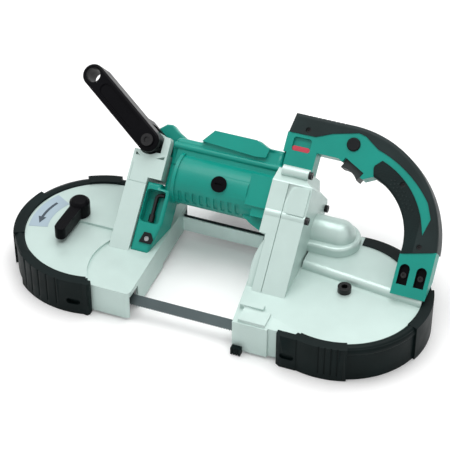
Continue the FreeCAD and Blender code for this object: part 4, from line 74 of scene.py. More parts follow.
Piece = bpy.types.Object
Tree = bpy.types.NodeTree
Socket = bpy.types.NodeSocket
Place = tuple[float, float]
Span = tuple[float, float]
Triple = tuple[float, float, float]
Outline = Sequence[Place]

MM = 0.001
TILT = math.radians(45.0)
UP = Vector((0.0, math.cos(TILT), math.sin(TILT)))
FRONT = Vector((0.0, -math.sin(TILT), math.cos(TILT)))

# The wheels stand this far to both sides of the saw's middle, and the drive axle starts at this height.
WHEEL_X = 154.0
AXLE_FOOT_Z = 13.0

# Faces across a rounding.
PLAIN = 2
SOFT = 3

# Values that the finishes and the studio share.
WHITE = (1.0, 1.0, 1.0, 1.0)
EVEN: Triple = (1.0, 1.0, 1.0)
BRUSHED_GLOSS: Triple = (0.04, 1.0, 1.0)
BRUSHED_RELIEF: Triple = (0.05, 1.0, 1.0)
BRUSH_WIDTH = 1.2
GLOSS_SHARE = 3.0
NOISE_SPAN: Span = (0.3, 0.7)
TINT_DETAIL = 4.0
GLOSS_DETAIL = 3.0
RELIEF_DETAIL = 2.0
RELIEF_STRENGTH = 0.6
DIMPLE_RANDOMNESS = 0.35
LEAST_ROUGHNESS = 0.02
COAT_ROUGHNESS = 0.15


class Grain(Enum):
    """How a finish's fine surface is broken up."""

    SMOOTH = "smooth"
    MOULDED = "moulded"
    BRUSHED = "brushed"
    DIMPLED = "dimpled"


@dataclass(frozen=True)
class Finish:
    """A surface finish with its colour drift, gloss drift and fine relief; drift is a share of the colour."""

    name: str
    colour: Triple
    roughness: float
    metallic: float = 0.0
    drift: float = 0.06
    drift_size: float = 45.0
    gloss_drift: float = 0.05
    grain: Grain = Grain.MOULDED
    grain_size: float = 0.7
    grain_depth: float = 0.02
    coat: float = 0.0
    specular: float = 0.5
    transmission: float = 0.0

    def material(self) -> bpy.types.Material:
        """Builds the finish once and hands it out again after that.

        Returns:
            The node material of this finish.
        """
        name = f"finish_{self.name}"
        known = bpy.data.materials.get(name)
        if known is not None:
            return known
        material = bpy.data.materials.new(name)
        material.use_nodes = True
        tree = material.node_tree
        shader = tree.nodes["Principled BSDF"]
        shader.inputs["Metallic"].default_value = self.metallic
        shader.inputs["Specular IOR Level"].default_value = self.specular
        shader.inputs["Coat Weight"].default_value = self.coat
        shader.inputs["Coat Roughness"].default_value = COAT_ROUGHNESS
        shader.inputs["Transmission Weight"].default_value = self.transmission
        place = tree.nodes.new("ShaderNodeTexCoord").outputs["Object"]
        self._tint(tree, shader, place)
        self._gloss(tree, shader, place)
        if self.grain is not Grain.SMOOTH:
            self._relief(tree, shader, place)
        return material

    @staticmethod
    def _noise(tree: Tree, place: Socket, size: float, detail: float, stretch: Triple = EVEN) -> Socket:
        """Adds cloudy noise.

        Args:
            tree: The node tree that takes it.
            place: Coordinates that it reads.
            size: Size of its clouds.
            detail: How many finer layers it has.
            stretch: Scale of the coordinates along each axis.

        Returns:
            The noise's value socket.
        """
        mapping = tree.nodes.new("ShaderNodeMapping")
        mapping.inputs["Scale"].default_value = stretch
        noise = tree.nodes.new("ShaderNodeTexNoise")
        noise.inputs["Scale"].default_value = 1.0 / (size * MM)
        noise.inputs["Detail"].default_value = detail
        tree.links.new(place, mapping.inputs["Vector"])
        tree.links.new(mapping.outputs["Vector"], noise.inputs["Vector"])
        return noise.outputs["Fac"]

    def _tint(self, tree: Tree, shader: bpy.types.Node, place: Socket) -> None:
        """Lets the colour drift between a lower and a higher tone.

        Args:
            tree: The node tree.
            shader: The shader that takes the colour.
            place: Coordinates that the drift reads.
        """
        ramp = tree.nodes.new("ShaderNodeValToRGB")
        shares = (1.0 - self.drift, 1.0 + self.drift)
        for element, share, position in zip(ramp.color_ramp.elements, shares, NOISE_SPAN):
            element.color = (*[min(channel * share, 1.0) for channel in self.colour], 1.0)
            element.position = position
        tree.links.new(self._noise(tree, place, self.drift_size, TINT_DETAIL), ramp.inputs["Fac"])
        tree.links.new(ramp.outputs["Color"], shader.inputs["Base Color"])

    def _gloss(self, tree: Tree, shader: bpy.types.Node, place: Socket) -> None:
        """Lets the roughness drift, along X where the metal is brushed.

        Args:
            tree: The node tree.
            shader: The shader that takes the roughness.
            place: Coordinates that the drift reads.
        """
        brushed = self.grain is Grain.BRUSHED
        size = BRUSH_WIDTH if brushed else self.drift_size / GLOSS_SHARE
        noise = self._noise(tree, place, size, GLOSS_DETAIL, BRUSHED_GLOSS if brushed else EVEN)
        spread = tree.nodes.new("ShaderNodeMapRange")
        spread.inputs["From Min"].default_value = NOISE_SPAN[0]
        spread.inputs["From Max"].default_value = NOISE_SPAN[1]
        spread.inputs["To Min"].default_value = max(self.roughness - self.gloss_drift, LEAST_ROUGHNESS)
        spread.inputs["To Max"].default_value = min(self.roughness + self.gloss_drift, 1.0)
        tree.links.new(noise, spread.inputs["Value"])
        tree.links.new(spread.outputs["Result"], shader.inputs["Roughness"])

    def _relief(self, tree: Tree, shader: bpy.types.Node, place: Socket) -> None:
        """Adds the fine relief of the surface.

        Args:
            tree: The node tree.
            shader: The shader whose normal it bends.
            place: Coordinates that the relief reads.
        """
        if self.grain is Grain.DIMPLED:
            cells = tree.nodes.new("ShaderNodeTexVoronoi")
            cells.inputs["Scale"].default_value = 1.0 / (self.grain_size * MM)
            cells.inputs["Randomness"].default_value = DIMPLE_RANDOMNESS
            tree.links.new(place, cells.inputs["Vector"])
            height = cells.outputs["Distance"]
        else:
            stretch = BRUSHED_RELIEF if self.grain is Grain.BRUSHED else EVEN
            height = self._noise(tree, place, self.grain_size, RELIEF_DETAIL, stretch)
        bump = tree.nodes.new("ShaderNodeBump")
        bump.inputs["Strength"].default_value = RELIEF_STRENGTH
        bump.inputs["Distance"].default_value = self.grain_depth * MM
        tree.links.new(height, bump.inputs["Height"])
        tree.links.new(bump.outputs["Normal"], shader.inputs["Normal"])


SILVER = Finish("silver_paint", (0.52, 0.645, 0.61), 0.4, metallic=0.3, drift=0.035,
                grain_size=1.1, grain_depth=0.025, specular=0.4)
TEAL = Finish("teal_shell", (0.002, 0.265, 0.21), 0.34, drift=0.06,
              grain_depth=0.015, coat=0.06, specular=0.3)
RUBBER = Finish("black_rubber", (0.003, 0.008, 0.008), 0.46, drift=0.25,
                grain_size=0.5, grain_depth=0.05, specular=0.1)
# Grip rubber, partly its own dark grey and partly painted sheen: its colour is lighter than the other rubber
# to stand in for the sheen on the grip's upper faces. The grip dots share it.
GRIP_WITH_SHEEN = Finish("grip_rubber_and_sheen", (0.013, 0.022, 0.022), 0.5, drift=0.2,
              grain_size=0.6, grain_depth=0.05, specular=0.16)
DIMPLED_RUBBER = Finish("dimpled_rubber", (0.004, 0.011, 0.011), 0.42, drift=0.25,
                        grain=Grain.DIMPLED, grain_size=2.0, grain_depth=0.3, specular=0.16)
BLACK = Finish("black_plastic", (0.003, 0.003, 0.004), 0.32, drift=0.2,
               grain_depth=0.03, specular=0.05)
DARK = Finish("dark_grey_plastic", (0.012, 0.014, 0.015), 0.42, drift=0.15,
              grain_depth=0.04, specular=0.1)
SWITCH = Finish("switch_plastic", (0.034, 0.041, 0.041), 0.46, drift=0.2,
                grain_depth=0.04, specular=0.2)
RED = Finish("red_plastic", (0.52, 0.03, 0.06), 0.3, drift=0.05, grain=Grain.SMOOTH, coat=0.3)
STEEL = Finish("machined_steel", (0.56, 0.57, 0.58), 0.32, metallic=1.0, drift=0.05,
               grain=Grain.BRUSHED, grain_size=0.5, grain_depth=0.01)
BLADE = Finish("blade_steel", (0.085, 0.11, 0.115), 0.42, metallic=0.6, drift=0.12,
               grain=Grain.BRUSHED, grain_size=0.4, grain_depth=0.012)
# Pale green-grey steel of the rear guard, partly its own tone and partly painted light: the colour is raised
# well past the steel's own tone to brighten the guard where it sits in shade under the motor.
GUARD_PAINTED_LIGHT = Finish("guard_steel_painted_light", (0.74, 0.88, 0.85), 0.45, metallic=0.15, drift=0.1,
               grain=Grain.BRUSHED, grain_size=0.5, grain_depth=0.012)
BLACK_STEEL = Finish("blackened_steel", (0.02, 0.02, 0.021), 0.38, metallic=0.7, drift=0.2,
                     grain_size=0.4)
ALLOY = Finish("wheel_alloy", (0.60, 0.61, 0.63), 0.38, metallic=0.9, drift=0.05, grain_size=0.5)
IRON = Finish("core_iron", (0.12, 0.115, 0.11), 0.5, metallic=0.8, drift=0.2, grain_size=0.4)
LENS = Finish("lamp_clear", (0.85, 0.88, 0.9), 0.08, drift=0.02, grain=Grain.SMOOTH, transmission=0.6)
LABEL = Finish("pale_label", (0.36, 0.46, 0.53), 0.4, drift=0.05, grain=Grain.SMOOTH)
INK = Finish("label_ink", (0.03, 0.05, 0.07), 0.45, drift=0.1, grain=Grain.SMOOTH)

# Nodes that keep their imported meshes; the others are dressed by the sub-assemblies below.
NODE_FINISHES: dict[Finish, tuple[str, ...]] = {
    RUBBER: ("drive_tyre", "idler_tyre", "stop_shoe"),
    BLACK: ("battery_pack", "brush_caps", "switch_unit", "cooling_fan"),
    DARK: ("lock_button", "idler_guide", "drive_guide"),
    SWITCH: ("trigger",),
    RED: ("release_slide",),
    STEEL: ("drive_bearings", "idler_bearings", "ball_bearings", "idler_carriage", "motor_shaft",
            "reduction_gear", "bevel_gear", "counter_shaft", "output_shaft", "drive_gear", "tension_spring",
            "idler_guide_roller_front", "idler_guide_roller_rear", "idler_guide_roller_back",
            "drive_guide_roller_front", "drive_guide_roller_rear", "drive_guide_roller_back"),
    BLADE: ("saw_blade",),
    GUARD_PAINTED_LIGHT: ("rear_guard",),
    BLACK_STEEL: ("drive_axle", "case_screws", "handle_screws", "pivot_bolt", "hex_key"),
    ALLOY: ("drive_wheel", "idler_wheel"),
    IRON: ("motor_stator", "motor_armature"),
    LENS: ("led_lens",),
}


def arc(centre: Place, radius: float, start: float, end: float, steps: int) -> list[Place]:
    """Points along an arc.

    Args:
        centre: Its centre.
        radius: Its radius.
        start: First angle.
        end: Last angle.
        steps: How many spans it has.

    Returns:
        The points in order.
    """
    points = []
    for step in range(steps + 1):
        angle = math.radians(start + (end - start) * step / steps)
        points.append((centre[0] + radius * math.cos(angle), centre[1] + radius * math.sin(angle)))
    return points


def circle(centre: Place, radius: float, corners: int) -> list[Place]:
    """Corners of a closed round outline, counterclockwise."""
    return arc(centre, radius, 0.0, 360.0 * (corners - 1) / corners, corners - 1)


def rectangle(x: Span, up: Span) -> list[Place]:
    """Corners of a square-cornered outline between its ends."""
    return [(x[0], up[0]), (x[1], up[0]), (x[1], up[1]), (x[0], up[1])]


def dress(piece: Piece, finish: Finish) -> None:
    """Gives a piece one finish all over."""
    piece.data.materials.clear()
    piece.data.materials.append(finish.material())


def fit_trim(piece: Piece, finish: Finish) -> None:
    """Dresses a piece of trim and fits it to the saw's frame.

    Args:
        piece: The piece, which stands for no node.
        finish: Its finish.
    """
    dress(piece, finish)
    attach(piece, "frame")


@dataclass(frozen=True)
class Bench:
    """Turns the saw's own millimetres into the frame's metres.

    Flat places are (x, y, z). Tilted places are (x, up, front) on the planes of the motor and handles.
    """

    origin: Vector

    @classmethod
    def from_axle(cls) -> "Bench":
        """Finds the frame's origin from the drive axle, whose place is known.

        Returns:
            The bench.
        """
        low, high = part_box("drive_axle")
        middle = (low + high) / 2.0
        return cls(Vector((middle.x - WHEEL_X * MM, middle.y, low.z - AXLE_FOOT_Z * MM)))

    def flat(self, x: float, y: float, z: float) -> Vector:
        """Place on the wheel castings, in metres."""
        return Vector((x, y, z)) * MM + self.origin

    def tilted(self, x: float, up: float, front: float) -> Vector:
        """Place on the motor and handle planes.

        Args:
            x: Along the saw.
            up: Upwards in use.
            front: Towards the front.

        Returns:
            The place in metres.
        """
        y = up * math.cos(TILT) - front * math.sin(TILT)
        z = up * math.sin(TILT) + front * math.cos(TILT)
        return self.flat(x, y, z)

    def reach(self, piece: Piece, way: Vector) -> float:
        """How far a piece reaches along a way, in millimetres."""
        return max((vertex.co - self.origin).dot(way) / MM for vertex in piece.data.vertices)


@dataclass(frozen=True)
class Workshop:
    """Hand tools: each method is one step that a modeller takes at the bench.

    Corners closer than weld (in a copied mesh) or merge (before a rounding) become one, and faces that turn
    by flat_angle or less become whole. An edge is rounded where all edges that meet it are longer than
    room_share times the width; an edge that runs on almost straight, by the cosine same_way, doesn't count.
    """

    bench: Bench
    weld: float = 0.001
    merge: float = 0.02
    flat_angle: float = 0.5
    room_share: float = 1.5
    same_way: float = 0.9

    @staticmethod
    def take(piece: Piece) -> None:
        """Makes one piece the only selected and active one."""
        bpy.ops.object.select_all(action="DESELECT")
        piece.select_set(True)
        bpy.context.view_layer.objects.active = piece

    def _clean(self, piece: Piece, merge: float) -> None:
        """Merges a piece's doubled corners and makes its flat faces whole.

        Args:
            piece: The piece.
            merge: Corners that are closer than this become one.
        """
        self.take(piece)
        bpy.ops.object.mode_set(mode="EDIT")
        bpy.ops.mesh.select_all(action="SELECT")
        bpy.ops.mesh.remove_doubles(threshold=merge * MM)
        bpy.ops.mesh.dissolve_limited(angle_limit=math.radians(self.flat_angle))
        bpy.ops.object.mode_set(mode="OBJECT")

    def copy_node(self, node: str) -> Piece:
        """Copies a CAD node's mesh, merged and with its flat faces whole.

        Args:
            node: The CAD node.

        Returns:
            The copy, which stands for the node and rides on its body.
        """
        source = frame["nodes"][node]
        piece = bpy.data.objects.new(f"{node}_finished", source.data.copy())
        bpy.context.scene.collection.objects.link(piece)
        self._clean(piece, self.weld)
        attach(piece, source["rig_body"])
        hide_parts(node)
        return piece

    @staticmethod
    def _begin(name: str, corners: Sequence[Vector]) -> Piece:
        """Starts a piece as one flat face.

        Args:
            name: The piece's name.
            corners: The face's corners in metres.

        Returns:
            The piece, in edit mode and all selected.
        """
        bpy.ops.object.select_all(action="DESELECT")
        bpy.ops.mesh.primitive_circle_add(vertices=len(corners), fill_type="NGON")
        piece = bpy.context.object
        piece.name = name
        for vertex, corner in zip(piece.data.vertices, corners):
            vertex.co = corner
        bpy.ops.object.mode_set(mode="EDIT")
        bpy.ops.mesh.select_all(action="SELECT")
        return piece

    @staticmethod
    def _end() -> None:
        """Turns every face of the piece in edit mode outwards and leaves that mode."""
        bpy.ops.mesh.select_all(action="SELECT")
        bpy.ops.mesh.normals_make_consistent(inside=False)
        bpy.ops.object.mode_set(mode="OBJECT")

    def plate(self, name: str, corners: Sequence[Vector], sweep: Vector) -> Piece:
        """Makes a flat outline into a plate.

        Args:
            name: The piece's name.
            corners: Its corners in metres.
            sweep: The way and depth of its extrusion in metres.

        Returns:
            The plate.
        """
        piece = self._begin(name, corners)
        bpy.ops.mesh.extrude_region_move(TRANSFORM_OT_translate={"value": sweep})
        self._end()
        return piece

    def swept(self, name: str, corners: Sequence[Vector], centre: Vector, angle: float, steps: int) -> Piece:
        """Sweeps a flat outline round an upright axis.

        Args:
            name: The piece's name.
            corners: Its corners in metres.
            centre: A place on the axis in metres.
            angle: How far it is swept, counterclockwise from above.
            steps: How many spans the sweep has.

        Returns:
            The swept piece.
        """
        piece = self._begin(name, corners)
        bpy.ops.mesh.spin(steps=steps, angle=-math.radians(angle), center=centre, axis=(0.0, 0.0, 1.0))
        bpy.ops.mesh.select_all(action="SELECT")
        bpy.ops.mesh.remove_doubles(threshold=self.weld * MM)
        self._end()
        return piece

    def flat_plate(self, name: str, outline: Outline, z: float, height: float) -> Piece:
        """Makes a plate that lies flat.

        Args:
            name: The piece's name.
            outline: Its corners as x and y.
            z: Height that it lies on.
            height: Its thickness.

        Returns:
            The plate.
        """
        corners = [self.bench.flat(x, y, z) for x, y in outline]
        return self.plate(name, corners, Vector((0.0, 0.0, height * MM)))

    def tilted_plate(self, name: str, outline: Outline, front: Span) -> Piece:
        """Makes a plate on the tilted planes.

        Args:
            name: The piece's name.
            outline: Its corners as x and up.
            front: Its ends towards the front.

        Returns:
            The plate.
        """
        corners = [self.bench.tilted(x, up, front[0]) for x, up in outline]
        return self.plate(name, corners, FRONT * ((front[1] - front[0]) * MM))

    def bar(self, name: str, section: Outline, x: Span) -> Piece:
        """Makes a bar along the saw.

        Args:
            name: The piece's name.
            section: Its corners as up and front.
            x: Its ends along the saw.

        Returns:
            The bar.
        """
        corners = [self.bench.tilted(x[0], up, front) for up, front in section]
        return self.plate(name, corners, Vector(((x[1] - x[0]) * MM, 0.0, 0.0)))

    def _combine(self, piece: Piece, others: Sequence[Piece], operation: str) -> None:
        """Joins or cuts a piece with others, which it uses up.

        Args:
            piece: The piece that stays.
            others: The shapes that are joined to it or cut from it.
            operation: UNION or DIFFERENCE.
        """
        for other in others:
            self.take(piece)
            step = piece.modifiers.new("combine", "BOOLEAN")
            step.operation = operation
            step.solver = "EXACT"
            step.object = other
            bpy.ops.object.modifier_apply(modifier=step.name)
            bpy.data.objects.remove(other)

    def carve(self, piece: Piece, cutters: Sequence[Piece]) -> None:
        """Cuts shapes out of a piece and clears them away."""
        self._combine(piece, cutters, "DIFFERENCE")

    def fuse(self, piece: Piece, lumps: Sequence[Piece]) -> None:
        """Joins lumps to a piece as one skin."""
        self._combine(piece, lumps, "UNION")

    def round_edges(self, piece: Piece, width: float, segments: int = PLAIN, angle: float = 35.0) -> None:
        """Rounds the sharp outer edges and keeps the large faces flat to the eye.

        Args:
            piece: The piece.
            width: Width of the rounding.
            segments: Faces across the rounding.
            angle: An edge that turns by this much or more is sharp.
        """
        self._clean(piece, self.merge)
        self._weigh_edges(piece, width, angle)
        bevel = piece.modifiers.new("round", "BEVEL")
        bevel.width = width * MM
        bevel.segments = segments
        bevel.limit_method = "WEIGHT"
        bpy.ops.object.modifier_apply(modifier=bevel.name)
        bpy.ops.object.shade_smooth_by_angle(angle=math.radians(angle))
        weigh = piece.modifiers.new("weigh", "WEIGHTED_NORMAL")
        weigh.keep_sharp = True
        bpy.ops.object.modifier_apply(modifier=weigh.name)

    def _weigh_edges(self, piece: Piece, width: float, angle: float) -> None:
        """Marks the sharp outer edges that have room for a rounding, so that tight corners stay crisp.

        Args:
            piece: The piece.
            width: Width of the rounding.
            angle: An edge that turns by this much or more is sharp.
        """
        mesh = bmesh.new()
        mesh.from_mesh(piece.data)
        weights = mesh.edges.layers.float.new("bevel_weight_edge")
        for edge in mesh.edges:
            if len(edge.link_faces) != 2 or not edge.is_convex:
                continue
            if edge.calc_face_angle() < math.radians(angle):
                continue
            along = self._way(edge)
            room = [near.calc_length() for vertex in edge.verts for near in vertex.link_edges
                    if abs(along.dot(self._way(near))) < self.same_way]
            edge[weights] = 1.0 if min(room, default=0.0) > self.room_share * width * MM else 0.0
        mesh.to_mesh(piece.data)
        mesh.free()

    @staticmethod
    def _way(edge: bmesh.types.BMEdge) -> Vector:
        """The way that an edge runs."""
        return (edge.verts[1].co - edge.verts[0].co).normalized()

    def rounded_node(self, node: str, width: float, segments: int, finish: Finish) -> None:
        """Copies a node, rounds it and gives it a finish.

        Args:
            node: The CAD node.
            width: Width of the rounding.
            segments: Faces across the rounding.
            finish: Its finish.
        """
        piece = self.copy_node(node)
        self.round_edges(piece, width, segments)
        dress(piece, finish)


@dataclass
class WheelGuards:
    """Both wheel castings, the lever, the rubber of their rims and the plain label on the idler deck."""

    shop: Workshop
    idler_centre: Place = (-WHEEL_X, 0.0)
    drive_centre: Place = (WHEEL_X, 0.0)
    casting_round: float = 1.2
    bumper_round: float = 2.4
    lever_round: float = 1.0
    deck_z: float = 50.0
    label_inner: float = 63.0
    label_outer: float = 86.0
    label_start: float = 150.0
    label_end: float = 196.0
    label_thickness: float = 0.25
    label_steps: int = 18
    arrow_half: float = 1.6
    arrow_wing: float = 5.0
    arrow_tail_gap: float = 8.0
    arrow_neck_gap: float = 14.0
    arrow_tip: float = 9.0
    lip_inner: float = 74.5
    lip_outer: float = 89.0
    lip_start: float = 52.0
    lip_end: float = 92.0
    lip_steps: int = 24
    lip_low_z: float = 59.0
    lip_height: float = 1.5
    lip_round: float = 0.6
    rim_radius: float = 97.0
    roll_reach: float = 94.6
    roll_z: float = 46.2
    roll_radius: float = 6.6
    roll_section: Span = (-60.0, 147.0)
    roll_section_steps: int = 14
    roll_steps: int = 60
    roll_round: float = 0.8
    roll_sharp: float = 60.0
    idler_roll: Span = (84.0, 285.5)
    drive_roll: Span = (-106.5, 40.0)

    def build(self) -> None:
        """Rounds the castings, bumpers and lever and lays the label, the lip and the rolled rims."""
        for node in ("idler_housing", "drive_housing"):
            self.shop.rounded_node(node, self.casting_round, PLAIN, SILVER)
        for node in ("idler_bumper", "drive_bumper"):
            self.shop.rounded_node(node, self.bumper_round, SOFT, RUBBER)
        self.shop.rounded_node("tension_lever", self.lever_round, SOFT, BLACK)
        self.label()
        self.rear_lip()
        self.rim_roll("idler_rim_roll", self.idler_centre, self.idler_roll)
        self.rim_roll("drive_rim_roll", self.drive_centre, self.drive_roll)

    def label(self) -> None:
        """Lays a plain arc label with a turning arrow on the idler deck."""
        plan = self._band(self.label_inner, self.label_outer, (self.label_start, self.label_end))
        self._sticker("arc_label", plan, self.deck_z, LABEL)
        middle = (self.label_inner + self.label_outer) / 2.0
        neck = self.label_end - self.arrow_neck_gap
        run = (self.label_start + self.arrow_tail_gap, neck)
        top = self.deck_z + self.label_thickness
        stem = self._band(middle - self.arrow_half, middle + self.arrow_half, run)
        self._sticker("arrow_stem", stem, top, INK)
        head = [self._spot(middle + self.arrow_wing, neck), self._spot(middle, neck + self.arrow_tip),
                self._spot(middle - self.arrow_wing, neck)]
        self._sticker("arrow_head", head, top, INK)

    def _band(self, inner: float, outer: float, run: Span) -> list[Place]:
        """Outline of a curved band round the idler wheel's centre.

        Args:
            inner: Its inner radius.
            outer: Its outer radius.
            run: Its first and last angle.

        Returns:
            Its corners as x and y.
        """
        there = arc(self.idler_centre, outer, run[0], run[1], self.label_steps)
        return there + arc(self.idler_centre, inner, run[1], run[0], self.label_steps)

    def _spot(self, radius: float, angle: float) -> Place:
        """One place round the idler wheel's centre, as x and y."""
        return arc(self.idler_centre, radius, angle, angle, 1)[0]

    def _sticker(self, name: str, outline: Outline, z: float, finish: Finish) -> None:
        """Lays one thin flat shape at a height.

        Args:
            name: The piece's name.
            outline: Its corners as x and y.
            z: Height that it lies on.
            finish: Its finish.
        """
        piece = self.shop.flat_plate(name, outline, z, self.label_thickness)
        fit_trim(piece, finish)

    def rear_lip(self) -> None:
        """Lays the rubber lip along the drive casting's rear rim."""
        outline = arc(self.drive_centre, self.lip_outer, self.lip_start, self.lip_end, self.lip_steps)
        outline += arc(self.drive_centre, self.lip_inner, self.lip_end, self.lip_start, self.lip_steps)
        piece = self.shop.flat_plate("rear_lip", outline, self.lip_low_z, self.lip_height)
        self.shop.round_edges(piece, self.lip_round, SOFT)
        fit_trim(piece, RUBBER)

    def rim_roll(self, name: str, centre: Place, run: Span) -> None:
        """Rolls the rubber over one deck's rim.

        Args:
            name: The piece's name.
            centre: The deck's centre as x and y.
            run: First and last angle round the deck.
        """
        first, last = self.roll_section
        section = arc((self.roll_reach, self.roll_z), self.roll_radius, first, last, self.roll_section_steps)
        section += [(self.rim_radius, section[-1][1]), (self.rim_radius, section[0][1])]
        start = math.radians(run[0])
        corners = [self.shop.bench.flat(centre[0] + reach * math.cos(start),
                                        centre[1] + reach * math.sin(start), z) for reach, z in section]
        axis = self.shop.bench.flat(*centre, 0.0)
        piece = self.shop.swept(name, corners, axis, run[1] - run[0], self.roll_steps)
        self.shop.round_edges(piece, self.roll_round, SOFT, self.roll_sharp)
        fit_trim(piece, RUBBER)


@dataclass
class GearColumn:
    """Silver gear column with its flange, its raised panel and its cover."""

    shop: Workshop
    edge_round: float = 1.3
    cover_round: float = 0.5
    front: float = 62.0
    cut_over: float = 4.0
    seam_x: Span = (65.1, 67.0)
    seam_up: Span = (-10.0, 139.0)
    seam_depth: float = 1.6
    gap_x: Span = (52.6, 53.8)
    gap_up: Span = (-10.0, 70.0)
    gap_depth: float = 7.0
    panel_outline: Outline = ((71.0, 104.5), (92.0, 104.5), (92.0, 136.5), (79.0, 136.5), (73.5, 134.0),
                              (71.0, 128.0))
    panel_root: float = 2.0
    panel_height: float = 2.4
    flange_outline: Outline = ((53.6, 74.0), (49.0, 62.0), (46.0, 50.0), (45.0, 38.0), (46.6, 9.0),
                               (53.6, 9.0))
    flange_back: float = 9.0
    flange_face: float = 4.0

    def build(self) -> None:
        """Adds the flange and the panel, cuts the seams and rounds both halves and the cover."""
        plate = self.shop.copy_node("gear_plate")
        self.shop.fuse(plate, [self.flange()])
        self.shop.carve(plate, [self.cutter("seam", self.seam_x, self.seam_up, self.seam_depth),
                                self.cutter("gap", self.gap_x, self.gap_up, self.gap_depth)])
        case = self.shop.copy_node("gear_case")
        self.shop.fuse(case, [self.panel()])
        dome = self.shop.copy_node("gear_dome")
        for piece, width in ((plate, self.edge_round), (case, self.edge_round), (dome, self.cover_round)):
            self.shop.round_edges(piece, width, SOFT)
            dress(piece, SILVER)

    def cutter(self, name: str, x: Span, up: Span, depth: float) -> Piece:
        """Makes the cutter of a straight groove in the column's front.

        Args:
            name: The cutter's name.
            x: Its ends along the saw.
            up: Its ends upwards in use.
            depth: How deep it cuts.

        Returns:
            The cutter.
        """
        reach = (self.front - depth, self.front + self.cut_over)
        return self.shop.tilted_plate(name, rectangle(x, up), reach)

    def panel(self) -> Piece:
        """Makes the raised panel between the column's two cross bars."""
        reach = (self.front - self.panel_root, self.front + self.panel_height)
        return self.shop.tilted_plate("panel", self.panel_outline, reach)

    def flange(self) -> Piece:
        """Makes the thin curved flange along the column's throat side."""
        reach = (self.front - self.flange_back, self.front - self.flange_face)
        return self.shop.tilted_plate("flange", self.flange_outline, reach)


